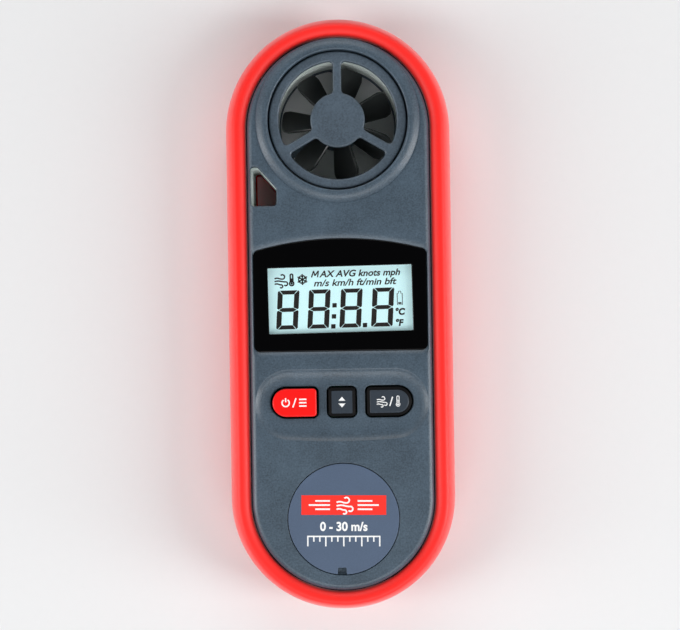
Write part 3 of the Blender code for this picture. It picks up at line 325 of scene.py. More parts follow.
# ABS of the air duct and strap liner, polished mould and satin: its pale colour is painted reflection of a
# bright surround and painted light on walls deep in shade
paintedPaleWall = finish("polishedAbsPale", "#EAF4F0", 0.35, grain=0.6, bump=0.01, mottle=0.04, patch=8.0, ior=1.53)
# polycarbonate impeller, near black, semi-gloss
rotorPolycarbonate = finish("mouldedPolycarbonateBlack", "#0D1013", 0.32, grain=0.35, bump=0.02, mottle=0.3,
                            patch=4.0, ior=1.585)
# back-printed acrylic: gloss black
lensAcrylic = finish("backPrintedAcrylicBlack", "#020203", 0.06, grain=1.2, bump=0.0, mottle=0.1, ior=1.49)
# reflective LCD behind its polariser: pale mint, with a faint painted glow that stands in for light falling on
# it
lcdFilmPaintedGlow = finish("reflectivePolariserMint", "#D6FBFF", 0.4, grain=0.25, bump=0.0, mottle=0.015, patch=12.0,
                 ior=1.5, emission_color=hexColour("#CDF5FB"), emission_strength=0.13)
# dark liquid crystal: near black with a warm cast
lcdInk = finish("liquidCrystalDark", "#171210", 0.45, grain=0.3, bump=0.0, mottle=0.2, ior=1.5)
# silicone keys: their sides are painted near black as the shade down in the key holes, matt; the caps keep
# their own colours with a soft satin finish
keySidesPaintedShade = finish("mouldedSiliconeBlack", "#030304", 0.7, grain=0.35, bump=0.02, mottle=0.2, ior=1.42,
                     specular_ior_level=0.25)
keyCap = finish("coatedSiliconeCharcoal", "#2F3842", 0.42, grain=0.3, bump=0.02, mottle=0.1, ior=1.45)
keyRed = finish("coatedSiliconeRed", "#FA0A06", 0.4, grain=0.4, bump=0.015, mottle=0.04, ior=1.45)
# frosted polycarbonate film, screen printed: matt slate under flat white and red ink
plateFilm = finish("frostedPolycarbonateSlate", "#485A73", 0.55, grain=0.25, bump=0.015, mottle=0.1, patch=7.0,
                   ior=1.585)
printWhite = finish("screenInkWhite", "#F4F5F5", 0.5, grain=0.3, bump=0.0, mottle=0.03, ior=1.5)
printRed = finish("screenInkRed", "#FA2A1C", 0.5, grain=0.3, bump=0.0, mottle=0.03, ior=1.5)
# zinc-plated steel and brass, turned: bright with fine machining
zincSteel = finish("zincPlatedSteelTurned", "#B9BCC0", 0.28, grain=0.2, bump=0.01, mottle=0.08, metallic=1.0)
bushBrass = finish("turnedBrass", "#C9A45A", 0.3, grain=0.2, bump=0.01, mottle=0.08, metallic=1.0)
# inner parts: grey sintered ferrite, glossy green solder mask, dull layered silicone, nylon and white film
magnetFerrite = finish("sinteredFerrite", "#2E2F32", 0.6, grain=0.2, bump=0.03, mottle=0.2)
boardLaminate = finish("solderMaskedLaminateGreen", "#0F5A2C", 0.35, grain=0.4, bump=0.01, mottle=0.12,
                       ior=1.55)
stripRubber = finish("layeredSilicone", "#3A3B3D", 0.6, grain=0.18, bump=0.02, mottle=0.3)
holderNylon = finish("mouldedNylonBlack", "#15171A", 0.5, grain=0.3, bump=0.02, mottle=0.2, ior=1.53)
reflectorFilm = finish("whiteDiffuserFilm", "#E4E7E6", 0.5, grain=0.4, bump=0.0, mottle=0.03)


def clearPane():  # clear acrylic: lamps and sight go straight through, with a Schlick reflection on top
    made = bpy.data.materials.new("clearAcrylicWindow")
    made.use_nodes = True
    tree = made.node_tree
    tree.nodes.clear()
    facing = addNode(tree, "ShaderNodeLayerWeight", {"Blend": 0.5})
    grazing = addNode(tree, "ShaderNodeMath", {"operation": "POWER", 1: 5.0}, {0: facing.outputs["Facing"]})
    share = addNode(tree, "ShaderNodeMath", {"operation": "MULTIPLY_ADD", 1: 0.96, 2: 0.04},
                    {0: grazing.outputs[0]})
    passed = addNode(tree, "ShaderNodeBsdfTransparent")
    mirror = addNode(tree, "ShaderNodeBsdfGlossy", {"Roughness": 0.05})
    mixed = addNode(tree, "ShaderNodeMixShader", {},
                    {0: share.outputs[0], 1: passed.outputs[0], 2: mirror.outputs[0]})
    addNode(tree, "ShaderNodeOutputMaterial", {}, {"Surface": mixed.outputs[0]})
    return made


windowAcrylic = clearPane()
print("materials ready")


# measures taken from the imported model
rimLow, rimHigh = spanOf("rim_bumper")
halfWidth = (rimHigh[0] - rimLow[0]) / 2
halfStraight = (rimHigh[1] - rimLow[1]) / 2 - halfWidth
partingZ = (spanOf("front_shell")[0][2] + spanOf("rear_shell")[1][2]) / 2
vaneX, vaneY, _ = middleOf("front_grille")
grilleLow, grilleHigh = spanOf("front_grille")
cartridgeRadius, grilleTop = (grilleHigh[0] - grilleLow[0]) / 2, grilleHigh[2]
lensLow, lensHigh = spanOf("display_lens")
plateLow, plateHigh = spanOf("nameplate")
plateX, plateRadius = (plateLow[0] + plateHigh[0]) / 2, (plateHigh[0] - plateLow[0]) / 2
plateY = plateHigh[1] - plateRadius
faceZ = plateHigh[2]
doorLow, doorHigh = spanOf("battery_door")
doorX, doorY, _ = middleOf("battery_door")
doorRadius = (doorHigh[0] - doorLow[0]) / 2
keyPlaces = {kind: middleOf(f"{kind}_button")[:2] for kind in ("power", "unit", "mode")}
keyTop = spanOf("power_button")[1][2]
gap = 0.3  # clearance between pieces that fit together
boreRadius = cartridgeRadius + gap
faceInset = 5.0  # from the bumper's side to the face's side
skirtInset, skirtWall = 2.1, 1.6  # the case's side walls behind the bumper
windowY = 3.2  # middle of the display


def caseOutline(inset, arcSteps=64, straightSteps=1):  # anticlockwise from the lower right
    radius = halfWidth - inset
    right = [(radius, -halfStraight + 2 * halfStraight * i / straightSteps) for i in range(straightSteps)]
    left = [(-x, -y) for x, y in right]
    upper = arcPoints(0, halfStraight, radius, 0, 180, arcSteps)[:-1]
    lower = arcPoints(0, -halfStraight, radius, 180, 360, arcSteps)[:-1]
    return right + upper + left + lower


strap = {"left": -19.2, "right": -13.55, "bottom": vaneY - 18.4, "height": 8.5, "cut": (4.1, 4.7),
         "corner": 0.75}


def strapOutline(grow=0.0):
    left, right, low, (across, down) = strap["left"], strap["right"], strap["bottom"], strap["cut"]
    top = low + strap["height"]
    corners = [(left, low), (right, low), (right, top - down), (right - across, top), (left, top)]
    return roundCorners(growOutline(corners, grow), strap["corner"] + grow, steps=8)


def strapInner(inset):  # narrower, and set towards the case's middle
    return [(x + 0.9 * inset, y - 0.8 * inset) for x, y in strapOutline(-0.8 * inset)]


# bumper
bumper = {
    "section": [  # (distance in from the widest point, height)
        (4.7, 16.5), (4.7, 17.0), (4.45, 17.75), (3.95, 18.25), (3.2, 18.55), (2.4, 18.6), (1.95, 18.42),
        (1.6, 17.95), (1.15, 17.05), (0.75, 15.9), (0.4, 14.3), (0.15, 12.4), (0.02, 10.8), (0.0, 10.0),
        (0.02, 9.2), (0.15, 7.6), (0.4, 5.7), (0.75, 4.1), (1.15, 2.95), (1.6, 2.05), (2.1, 1.35),
        (2.8, 0.95), (3.6, 0.82), (4.4, 0.8), (4.7, 0.95), (4.7, 2.9)],
    "wall": 1.8, "innerHeights": (2.9, 16.6), "rows": 96, "padGrow": 1.4, "padHeights": (0.95, 2.7),
    "padRound": 0.3, "padLip": 0.5}


def makeBumper():
    insets = np.array(bumper["section"])
    along = np.concatenate([[0], np.cumsum(np.hypot(*np.diff(insets, axis=0).T))])
    places = np.linspace(0, along[-1], bumper["rows"])
    smooth = np.stack([np.interp(places, along, insets[:, 0]), np.interp(places, along, insets[:, 1])], 1)
    for _ in range(2):  # rounds off the section's corners
        smooth[1:-1] = (smooth[:-2] + 2 * smooth[1:-1] + smooth[2:]) / 4
    section = [tuple(p) for p in smooth] + [(bumper["wall"], z) for z in bumper["innerHeights"]]
    rows = [(caseOutline(inset, 72, 40), z) for inset, z in section]
    piece = ringSolid("bumper", rows, bumperRubber)
    low, high = bumper["padHeights"]
    grow, edge = bumper["padGrow"], bumper["padRound"]
    outer, inner = strapOutline(grow), strapInner(bumper["padLip"])
    pad = ringSolid("pad", [(outer, high), (outer, low + edge), (strapOutline(grow - edge), low),
                            (strapOutline(edge / 2), low), (inner, low + edge), (inner, high)])
    joinInto(piece, [pad])
    smoothOver(piece, 50.0)
    return hand(piece, "case", "red_rubber", "rim_bumper")


makeBumper()
print("bumper made")


# front face
face = {
    "edge": 1.3, "slabBottom": 16.3, "archRise": 2.6, "lensCorner": 1.3, "seatGap": 0.12, "brow": 1.5,
    "chin": 1.1, "window": (32.4, 16.8), "windowCorner": 0.6, "dishTop": -12.2, "dishBottom": -26.3,
    "dishHalf": 18.6,
    "dishCorner": 7.2, "dishBow": 1.1, "dishDepth": 0.85, "dishSlope": 3.2, "dishRim": 0.6, "dishAngle": 43,
    "ringTop": 20.0, "ringOuter": 17.8, "ringFoot": 17.0, "ringDrop": 0.8, "ringPower": 2.1, "ringLip": 0.25,
    "plateFlare": 0.12, "strapFlare": 0.38, "keyFlare": 0.25, "boreWall": 1.4}


def lensOutline(grow=0.0, side=0.0, top=0.0, bottom=0.0):  # grown all round, then stretched
    half, rise = (lensHigh[0] - lensLow[0]) / 2, face["archRise"]
    radius = (half * half + rise * rise) / (2 * rise)
    sweep = math.degrees(math.asin(half / radius))
    arch = arcPoints(0, lensHigh[1] - radius, radius, 90 - sweep, 90 + sweep, 60)
    sill = [(-half, lensLow[1]), (half, lensLow[1])]
    flat = growOutline(roundCorners(sill + arch, face["lensCorner"]), grow)
    return [(x + math.copysign(side, x), y + (top if y > 0 else -bottom)) for x, y in flat]


def dishOutline(grow=0.0):  # its lower side is bowed
    half, top, bottom, bow = face["dishHalf"], face["dishTop"], face["dishBottom"], face["dishBow"]
    radius = (half * half + bow * bow) / (2 * bow)
    sweep = math.degrees(math.asin(half / radius))
    low = arcPoints(0, bottom - bow + radius, radius, 270 - sweep, 270 + sweep, 60)
    return growOutline(roundCorners(low + [(half, top), (-half, top)], face["dishCorner"], steps=20), grow)


def caseSlab(name, capZ, rimZ, edge, way):  # case outline with a quarter round from its rim up or down
    spacing = 1.2
    straightSteps = round(2 * halfStraight / spacing)
    arcSteps = round(math.pi * (halfWidth - faceInset) / spacing)
    rows = [(caseOutline(faceInset, arcSteps, straightSteps), capZ)]
    for a in (0, 10, 20, 30, 42, 54, 66, 78, 90):
        inset = edge * (1 - math.cos(math.radians(a)))
        rise = math.sqrt(max(edge * edge - (edge - inset) ** 2, 0.0))
        rows.append((caseOutline(faceInset + inset, arcSteps, straightSteps), rimZ + way * rise))
    return loftSolid(name, rows, caseAbs)


keys = {"height": 6.3, "width": {"power": 9.8, "unit": 5.9, "mode": 9.8}, "corner": 0.9, "foot": 15.9,
        "shoulder": 18.35, "capShrink": {"power": 0.12, "unit": 0.8, "mode": 0.65}, "round": 0.3}


def keyOutline(kind, grow=0.0):  # the outer two keys have a round nose
    width, height, corner = keys["width"][kind] + 2 * grow, keys["height"] + 2 * grow, keys["corner"] + grow
    if kind == "unit":
        return roundCorners(boxOutline(width, height), corner, steps=6)
    side = -1 if kind == "power" else 1
    start = 90 if side < 0 else -90
    nose = arcPoints(side * (width - height) / 2, 0.0, height / 2, start, start + 180, 28)
    flat = [(-side * width / 2, -height / 2), (-side * width / 2, height / 2)]
    if side > 0:
        flat.reverse()
    return roundCorners(nose + flat, corner, steps=6)


def shifted(points, dx, dy):
    return [(x + dx, y + dy) for x, y in points]


def flaredCutter(name, outlineAt, low, surface, flare):  # its mouth leaves a small rounded edge
    spare, bend = 1.5, flare * 0.35
    return loftSolid(name, [
        (outlineAt(0.0), low), (outlineAt(0.0), surface - flare), (outlineAt(bend), surface - bend),
        (outlineAt(flare), surface), (outlineAt(flare + spare), surface + spare)])


def ringProfile():  # narrow lip at the bore, then a crown that tips outwards to a small rounded edge
    top, outer, start = face["ringTop"], face["ringOuter"], boreRadius + 0.45
    lip = [(boreRadius + face["ringLip"] * (1 - math.cos(math.radians(a))),
            top - face["ringLip"] * (1 - math.sin(math.radians(a)))) for a in (0, 20, 40, 60, 80)]
    width, crown, steps = outer - 0.1 - start, [(boreRadius + 0.36, top - 0.01)], 16
    for i in range(steps + 1):
        t = i / steps
        crown.append((start + width * t, top - 0.1 - face["ringDrop"] * t ** face["ringPower"]))
    low = crown[-1][1]
    edge = [(outer - 0.05, low - 0.05), (outer - 0.01, low - 0.13), (outer, low - 0.22)]
    foot = [(outer + 0.04, low - 0.4), (outer, face["ringFoot"]), (boreRadius, face["ringFoot"])]
    return lip + crown + edge + foot


def dishRows():  # floor, a slope that steepens towards the rim, and a round that rolls over it
    depth, slope, over = face["dishDepth"], face["dishSlope"], face["dishRim"]
    end = math.radians(face["dishAngle"])
    rows, steep, steps = [], 0.8, 14
    lip = over * (1 - math.cos(end))
    for i in range(steps + 1):
        t = i / steps
        rise = (1 - math.sqrt(1 - steep * t ** 2.2)) / (1 - math.sqrt(1 - steep))
        rows.append((dishOutline(-slope * (1 - t)), faceZ - depth + (depth - lip) * rise))
    for a in (28, 14, 0):
        reach = over * (math.sin(end) - math.sin(math.radians(a)))
        rows.append((dishOutline(reach), faceZ - over * (1 - math.cos(math.radians(a)))))
    return rows + [(dishOutline(1.2), faceZ + 0.1)]


def browRows(seat):  # its slopes run on past the face, at the same angle
    brow, chin, above = face["brow"], face["chin"], 1.2
    further = above / (faceZ - lensHigh[2])
    return [(lensOutline(seat), lensHigh[2] - 0.05), (lensOutline(seat, 0.15, brow, chin), faceZ),
            (lensOutline(seat, 0.45, brow + brow * further, chin + chin * further), faceZ + above)]


def skirtRows(rows):  # rows of (inset, height)
    return [(caseOutline(inset), z) for inset, z in rows]


def tubeRows(outer, inner, top, low):  # a plain tube's profile
    return [(outer, top), (outer, low), (inner, low), (inner, top)]


def makeFrontShell():
    shell = caseSlab("frontShell", face["slabBottom"], faceZ - face["edge"], face["edge"], 1)
    window = roundCorners(boxOutline(*face["window"], 0, windowY), face["windowCorner"])
    seat, under = face["seatGap"], 10.0  # cutters that go right through start below the slab
    cutters = [
        loftSolid("vaneBore", [(circlePoints(boreRadius + 0.06, vaneX, vaneY, 160), z) for z in (under, 22)]),
        loftSolid("lensSeat", [(lensOutline(seat), z) for z in (lensLow[2] - gap, lensHigh[2] + 0.3)]),
        loftSolid("brow", browRows(seat)),
        loftSolid("lcdWindow", [(window, z) for z in (12, 17)]),
        loftSolid("dish", dishRows()),
        flaredCutter("plateSeat", lambda g: circlePoints(plateRadius + 0.16 + g, plateX, plateY, 144),
                     plateLow[2] - gap, faceZ, face["plateFlare"]),
        flaredCutter("strapBore", strapOutline, under, faceZ, face["strapFlare"])]
    for kind, (x, y) in keyPlaces.items():
        cutters.append(flaredCutter(f"{kind}Hole", lambda g: shifted(keyOutline(kind, gap + g), x, y),
                                    under, faceZ - face["dishDepth"], face["keyFlare"]))
    for cutter in cutters:
        cutAway(shell, [cutter])
    side, top, low = skirtInset + skirtWall, face["slabBottom"], partingZ + gap / 2
    skirt = ringSolid("skirt", skirtRows([(skirtInset, 16.0), (skirtInset, low), (side, low), (side, 14.6),
                                          (5.5, 15.0), (5.5, 16.4), (5.1, 16.4), (5.1, 16.0)]))
    bore = lathe("bore", tubeRows(boreRadius + face["boreWall"], boreRadius, top + 0.2, low), vaneX, vaneY)
    ridge = lathe("ridge", ringProfile(), vaneX, vaneY, steps=192)
    joinInto(shell, [skirt, bore, ridge])
    smoothOver(shell, 32.0)
    return hand(shell, "case", "charcoal_abs", "front_shell")


makeFrontShell()
# the strap liner's pale colour is painted reflection and painted light on a wall in shade
linerTop, linerOuter, linerStep = face["slabBottom"] - 0.05, strapOutline(0.45), strapOutline(0.05)
draft = [(strapInner(inset), z) for inset, z in ((0.36, 3.0), (0.3, 14.6), (0.26, 14.85), (0.2, 14.95))]
liner = ringSolid("strapLiner", [(linerOuter, linerTop), (linerOuter, 3.0)] + draft
                  + [(linerStep, 15.0), (linerStep, linerTop)], paintedPaleWall)
hand(smoothOver(liner), "case", "pale_abs")
print("front shell made")


# back cover
back = {"edge": 1.2, "slabTop": 3.2, "lipRadius": 13.6, "lipHeight": 0.9, "sinkRadius": 2.1, "padSeat": 1.7,
        "collarRadius": 10.7, "wellRadius": (12.0, 13.7), "boss": (2.8, 2.1, 1.2)}
screwNodes = [f"case_screw_{i}" for i in (1, 2, 3, 4)]
screwPlaces = [middleOf(node)[:2] for node in screwNodes]


def sunkCutter(name, outlineAt, depth, chamfer):  # from below the flat back up into it
    return loftSolid(name, [(outlineAt(chamfer + 1.0), -1.0), (outlineAt(chamfer), 0.0),
                            (outlineAt(0.0), chamfer), (outlineAt(0.0), depth)])


def prism(name, outline, low, high):
    return loftSolid(name, [(outline, low), (outline, high)])


def makeBackShell():
    shell = caseSlab("backShell", back["slabTop"], back["edge"], back["edge"], -1)
    inside, collar = 8.0, back["collarRadius"]  # cutters that go right through end above the slab
    cutters = [
        sunkCutter("vaneLip", lambda g: circlePoints(back["lipRadius"] + g, vaneX, vaneY, 144), 2.0, 0.35),
        prism("vaneSeat", circlePoints(boreRadius, vaneX, vaneY, 144), back["lipHeight"], inside),
        sunkCutter("doorSeat", lambda g: circlePoints(doorRadius + gap + g, doorX, doorY, 144), 1.5, 0.15),
        prism("collarBore", circlePoints(collar, doorX, doorY, 144), 1.0, inside),
        prism("padSeat", strapOutline(back["padSeat"]), -1.0, 2.95),
        prism("strapBore", strapOutline(), 2.0, inside)]
    sink = back["sinkRadius"]
    for i, (x, y) in enumerate(screwPlaces):
        cutters.append(sunkCutter(f"sink{i}", lambda g: circlePoints(sink + g, x, y, 48), inside, 0.3))
    cutAway(shell, cutters)
    edgeZ, side = partingZ - gap / 2, skirtInset + skirtWall
    wellInner, wellOuter = back["wellRadius"]
    extras = [
        ringSolid("skirt", skirtRows([(skirtInset, edgeZ), (skirtInset, 3.25), (5.3, 3.1), (5.5, 3.1),
                                      (5.5, 4.8), (side, 4.8), (side, edgeZ)])),
        lathe("seat", tubeRows(boreRadius + face["boreWall"], boreRadius, edgeZ, 2.6), vaneX, vaneY),
        ringSolid("strapWall", tubeRows(strapOutline(0.9), strapOutline(), edgeZ, 3.0)),
        lathe("well", [(wellOuter, 7.6), (wellOuter, 2.9), (collar, 2.9), (collar, 3.3), (wellInner, 3.3),
                       (wellInner, 7.6)], doorX, doorY)]
    foot, post, hole = back["boss"]
    for i, (x, y) in enumerate(screwPlaces):
        extras.append(lathe(f"boss{i}", [(foot, edgeZ), (foot, 2.6), (post, 2.6), (post, 4.9), (hole, 4.9),
                                         (hole, edgeZ)], x, y, steps=40))
    joinInto(shell, extras)
    smoothOver(shell, 32.0)
    return hand(shell, "case", "charcoal_abs", "rear_shell")


makeBackShell()
print("back shell made")


# vane: grilles, duct, bushes
grille = {"rim": 2.07, "edge": 0.4, "fillet": 0.9, "boss": (2.8, 1.9),
          "front": {"hub": 5.92, "spoke": 1.82, "thick": 1.6},
          "back": {"hub": 5.32, "spoke": 1.5, "thick": 1.4}}


def spokeOpenings(hub, outer, spoke):
    openings = []
    for start in (90, 210, 330):
        far, near = math.degrees(math.asin(spoke / 2 / outer)), math.degrees(math.asin(spoke / 2 / hub))
        rim = arcPoints(0, 0, outer, start + far, start + 120 - far, 40)
        root = arcPoints(0, 0, hub, start + 120 - near, start + near, 20)
        loop = roundCorners(rim + root, grille["fillet"], steps=7, leastTurn=40.0)
        openings.append(shifted(loop, vaneX, vaneY))
    return openings


def roundedRows(outlineAt, low, high, edge, outward=-1):  # quarter rounds at both rims of a plate or a hole
    rows = []
    for a in (0, 22, 45, 68, 90):
        reach, rise = edge * (1 - math.sin(math.radians(a))), edge * (1 - math.cos(math.radians(a)))
        rows.append((outlineAt(outward * reach), low + rise))
    return rows + [(outline, high + low - z) for outline, z in reversed(rows)]


def makeGrille(name, node, sizes, low, high, bossLow, bossHigh):
    opening, edge, spare = cartridgeRadius - grille["rim"], grille["edge"], 0.5
    disc = roundedRows(lambda g: circlePoints(cartridgeRadius + g, vaneX, vaneY, 160), low, high, edge)
    piece = loftSolid(name, disc, grilleAbs)
    for loop in spokeOpenings(sizes["hub"], opening, sizes["spoke"]):
        rows = roundedRows(lambda g: growOutline(loop, g), low, high, edge, 1)
        wide = growOutline(loop, edge + 0.15)
        cutAway(piece, [loftSolid("opening", [(wide, low - spare)] + rows + [(wide, high + spare)])])
    boss = lathe("boss", tubeRows(*grille["boss"], bossHigh, bossLow), vaneX, vaneY, steps=48)
    joinInto(piece, [boss])
    smoothOver(piece, 40.0)
    return hand(piece, "case", "grille_abs", node)


spiderLow, spiderHigh = spanOf("rear_grille")
makeGrille("frontGrille", "front_grille", grille["front"], grilleTop - grille["front"]["thick"], grilleTop,
           grilleLow[2], grilleTop - 0.4)
makeGrille("backGrille", "rear_grille", grille["back"], spiderLow[2], spiderLow[2] + grille["back"]["thick"],
           spiderLow[2] + 0.4, spiderHigh[2])

duct = {"wall": 1.8, "groove": 0.3, "groovePlaces": (3.6, 2.2)}  # places of the mould steps below its top


def makeDuct():
    bottom, top = spanOf("vane_duct_rear")[0][2], spanOf("vane_duct_front")[1][2]
    outside, inside = cartridgeRadius, cartridgeRadius - duct["wall"]
    deep = inside + duct["groove"]
    profile = [(outside, top), (outside, bottom), (inside + 0.5, bottom), (inside, bottom + 0.6)]
    grooves = [partingZ - 0.1] + [top - below for below in duct["groovePlaces"]]  # the parting line first
    for z in grooves:
        profile += [(inside, z - 0.16), (deep, z - 0.12), (deep, z + 0.12), (inside, z + 0.16)]
    profile += [(inside, top - 0.5), (deep, top)]
    # the duct's pale colour is painted reflection and painted light on its shaded walls
    piece = lathe("airDuct", profile, vaneX, vaneY, paintedPaleWall, steps=144)
    smoothOver(piece, 30.0)
    return hand(piece, "case", "pale_abs", "vane_duct_front", "vane_duct_rear")


makeDuct()

rotor = {"blades": 7, "tip": 12.3, "hub": 4.6, "bore": 0.62, "shell": 3.1, "low": 6.8, "high": 13.2,
         "thick": 0.55, "first": 22.7, "rootChord": 3.0, "tipChord": 5.6, "height": 5.2,
         "tipCorner": 1.25, "edge": 0.14}


def bladeMesh():  # one open sheet that widens to a rounded tip
    root, tip = rotor["hub"] - 0.7, rotor["tip"]
    along, across = 26, 12
    middle = (rotor["low"] + rotor["high"]) / 2
    points = []
    for i in range(along + 1):
        share = i / along
        radius = root + (tip - root) * share
        spread = rotor["rootChord"] + (rotor["tipChord"] - rotor["rootChord"]) * share
        for j in range(across + 1):
            t = j / across - 0.5
            corner = max(0.0, abs(t) - 0.27) / 0.23  # 0 over the middle of the tip, 1 at its two ends
            reach = radius - rotor["tipCorner"] * (1 - math.sqrt(max(0.0, 1 - corner * corner))) * share ** 6
            angle = spread * t / radius
            points.append((reach * math.cos(angle), reach * math.sin(angle), middle + rotor["height"] * t))
    row = across + 1
    faces = [(i * row + j, (i + 1) * row + j, (i + 1) * row + j + 1, i * row + j + 1)
             for i in range(along) for j in range(across)]
    return meshOf("bladeSheet", points, faces, rotorPolycarbonate)


def geometryTree(name, inputs):  # inputs are (name, kind of socket)
    tree = bpy.data.node_groups.new(name, "GeometryNodeTree")
    for label, kind in [("Geometry", "Geometry")] + inputs:
        tree.interface.new_socket(label, in_out="INPUT", socket_type=f"NodeSocket{kind}")
    tree.interface.new_socket("Geometry", in_out="OUTPUT", socket_type="NodeSocketGeometry")
    return tree, addNode(tree, "NodeGroupInput")


def growWith(piece, tree, values):  # runs the tree on the piece and keeps the result as its mesh
    step = piece.modifiers.new(tree.name, "NODES")
    step.node_group = tree
    for item in tree.interface.items_tree:
        if item.name in values:
            step[item.identifier] = values[item.name]
    return settle(piece)


def makeImpeller():
    blade = bladeMesh()
    skin = blade.modifiers.new("skin", "SOLIDIFY")
    skin.thickness, skin.offset = rotor["thick"] * mm, 0.0
    rounding = blade.modifiers.new("rounding", "BEVEL")
    rounding.width, rounding.segments, rounding.angle_limit = rotor["edge"] * mm, 2, math.radians(50)
    settle(blade)
    h, low, high, bore, shell = rotor["hub"], rotor["low"], rotor["high"], rotor["bore"], rotor["shell"]
    profile = [(bore, high), (h - 1.6, high), (h - 0.8, high - 0.25), (h - 0.25, high - 0.9), (h, high - 1.9),
               (h, low + 0.3), (h - 0.3, low), (shell, low), (shell, low + 1.9), (bore, low + 1.9)]
    hub = lathe("impeller", profile, 0, 0, rotorPolycarbonate, steps=72)
    tree, given = geometryTree("bladeRing", [("Blade", "Object"), ("Count", "Int"), ("First Angle", "Float"),
                                             ("Material", "Material")])
    line = addNode(tree, "GeometryNodeMeshLine", {"Offset": (0, 0, 0)}, {"Count": given.outputs["Count"]})
    source = addNode(tree, "GeometryNodeObjectInfo", {}, {"Object": given.outputs["Blade"]})
    index = addNode(tree, "GeometryNodeInputIndex")
    step = addNode(tree, "ShaderNodeMath", {"operation": "DIVIDE", 0: 2 * math.pi}, {1: given.outputs["Count"]})
    angle = addNode(tree, "ShaderNodeMath", {"operation": "MULTIPLY_ADD"},
                    {0: index.outputs[0], 1: step.outputs[0], 2: given.outputs["First Angle"]})
    turn = addNode(tree, "ShaderNodeCombineXYZ", {}, {"Z": angle.outputs[0]})
    ring = addNode(tree, "GeometryNodeInstanceOnPoints", {}, {"Points": line.outputs["Mesh"],
                   "Instance": source.outputs["Geometry"], "Rotation": turn.outputs[0]})
    real = addNode(tree, "GeometryNodeRealizeInstances", {}, {0: ring.outputs[0]})
    both = addNode(tree, "GeometryNodeJoinGeometry", {}, {})
    tree.links.new(given.outputs["Geometry"], both.inputs[0])
    tree.links.new(real.outputs[0], both.inputs[0])
    paint = addNode(tree, "GeometryNodeSetMaterial", {},
                    {"Geometry": both.outputs[0], "Material": given.outputs["Material"]})
    addNode(tree, "NodeGroupOutput", {}, {0: paint.outputs[0]})
    growWith(hub, tree, {"Blade": blade, "Count": rotor["blades"], "First Angle": math.radians(rotor["first"]),
                         "Material": rotorPolycarbonate})
    bpy.data.objects.remove(blade)
    hub.data.transform(Matrix.Translation((vaneX * mm, vaneY * mm, 0)))
    smoothOver(hub, 40.0)
    return hand(hub, "rotor", "rotor_black", "impeller")


makeImpeller()
print("vane made")


# display
display = {"sheetTop": lensLow[2] - 0.15, "sheetSize": (33.2, 17.0), "sheetThick": 1.5,
           "windowSize": (31.3, 14.3), "corner": 0.15, "tilt": 0.8}


def placeSheet(points, turn, dx, dy):
    c, s = math.cos(math.radians(turn)), math.sin(math.radians(turn))
    return [(x * c - y * s + dx, x * s + y * c + dy) for x, y in points]


def windowOutline(grow=0.0):
    w, h = display["windowSize"]
    flat = roundCorners(boxOutline(w + 2 * grow, h + 2 * grow), display["corner"], steps=3)
    return placeSheet(flat, display["tilt"], 0, windowY)


lens = plate("displayLens", [lensOutline(), windowOutline()], lensLow[2], lensHigh[2], 0.12, lensAcrylic)
hand(smoothOver(lens, 40.0), "case", "lens_acrylic", "display_lens")
pane = plate("displayWindow", [windowOutline(-0.02)], lensLow[2] + 0.05, lensHigh[2] - 0.1, 0.02,
             windowAcrylic, 0)
hand(smoothOver(pane, 30.0), "case", "lcd_glass")
panel = plate("lcdPanel", [placeSheet(boxOutline(*display["sheetSize"]), display["tilt"], 0, windowY)],
              display["sheetTop"] - display["sheetThick"], display["sheetTop"], 0.05, lcdFilmPaintedGlow, 1)
hand(smoothOver(panel, 30.0), "case", "lcd_glass", "lcd_glass")


# flat graphics: each shape is (points, faces) in the plane

def polygon(points):
    return list(points), [tuple(range(len(points)))]


def stroke(points, width, closed=False):
    count = len(points)
    left, right = [], []
    for i, (x, y) in enumerate(points):
        before = points[i - 1] if (i or closed) else points[i]
        after = points[(i + 1) % count] if (i < count - 1 or closed) else points[i]
        dx, dy = unitOf(after[0] - before[0], after[1] - before[1])
        left.append((x - dy * width / 2, y + dx * width / 2))
        right.append((x + dy * width / 2, y - dx * width / 2))
    spans = range(count if closed else count - 1)
    faces = [(i, (i + 1) % count, count + (i + 1) % count, count + i) for i in spans]
    return left + right, faces


def lettering(text, capHeight, x, y, width=None, slant=0.0, bold=0.02):  # x and y are its lower left corner
    sample = {}
    for body in ("H", text):  # the capital gives the font's scale
        curve = bpy.data.curves.new("lettering", "FONT")
        curve.body, curve.size, curve.shear, curve.offset = body, 1.0, slant, bold
        mesh = meshOfCurve(curve)
        sample[body] = ([tuple(v.co[:2]) for v in mesh.vertices], [tuple(p.vertices) for p in mesh.polygons])
    scale = capHeight / max(p[1] for p in sample["H"][0])
    points, faces = sample[text]
    low, high = min(p[0] for p in points), max(p[0] for p in points)
    across = width / (high - low) if width else scale
    return [(x + (px - low) * across, y + py * scale) for px, py in points], faces


def graphicPiece(name, shapes, z, thick, material, body, slot, turn=0.0, dx=0.0, dy=0.0):
    points, faces = [], []
    for flat, sides in shapes:
        base = len(points)
        points += [(x, y, z) for x, y in placeSheet(flat, turn, dx, dy)]
        faces += [tuple(base + i for i in side) for side in sides]
    mesh = bpy.data.meshes.new(name)
    mesh.from_pydata([(x * mm, y * mm, h * mm) for x, y, h in points], [], faces)
    work = bmesh.new()
    work.from_mesh(mesh)
    bmesh.ops.remove_doubles(work, verts=work.verts, dist=0.0002 * mm)
    for side in work.faces:
        if side.normal.z < 0:
            side.normal_flip()
    work.to_mesh(mesh)
    work.free()
    piece = linkMesh(name, mesh, material)
    skin = piece.modifiers.new("ink", "SOLIDIFY")
    skin.thickness, skin.offset = thick * mm, 1.0
    settle(piece)
    return hand(piece, body, slot)


figure = {"size": (4.7, 8.45), "upright": 1.1, "level": 0.86, "slit": 0.1, "lean": 0.075, "corner": 0.32}


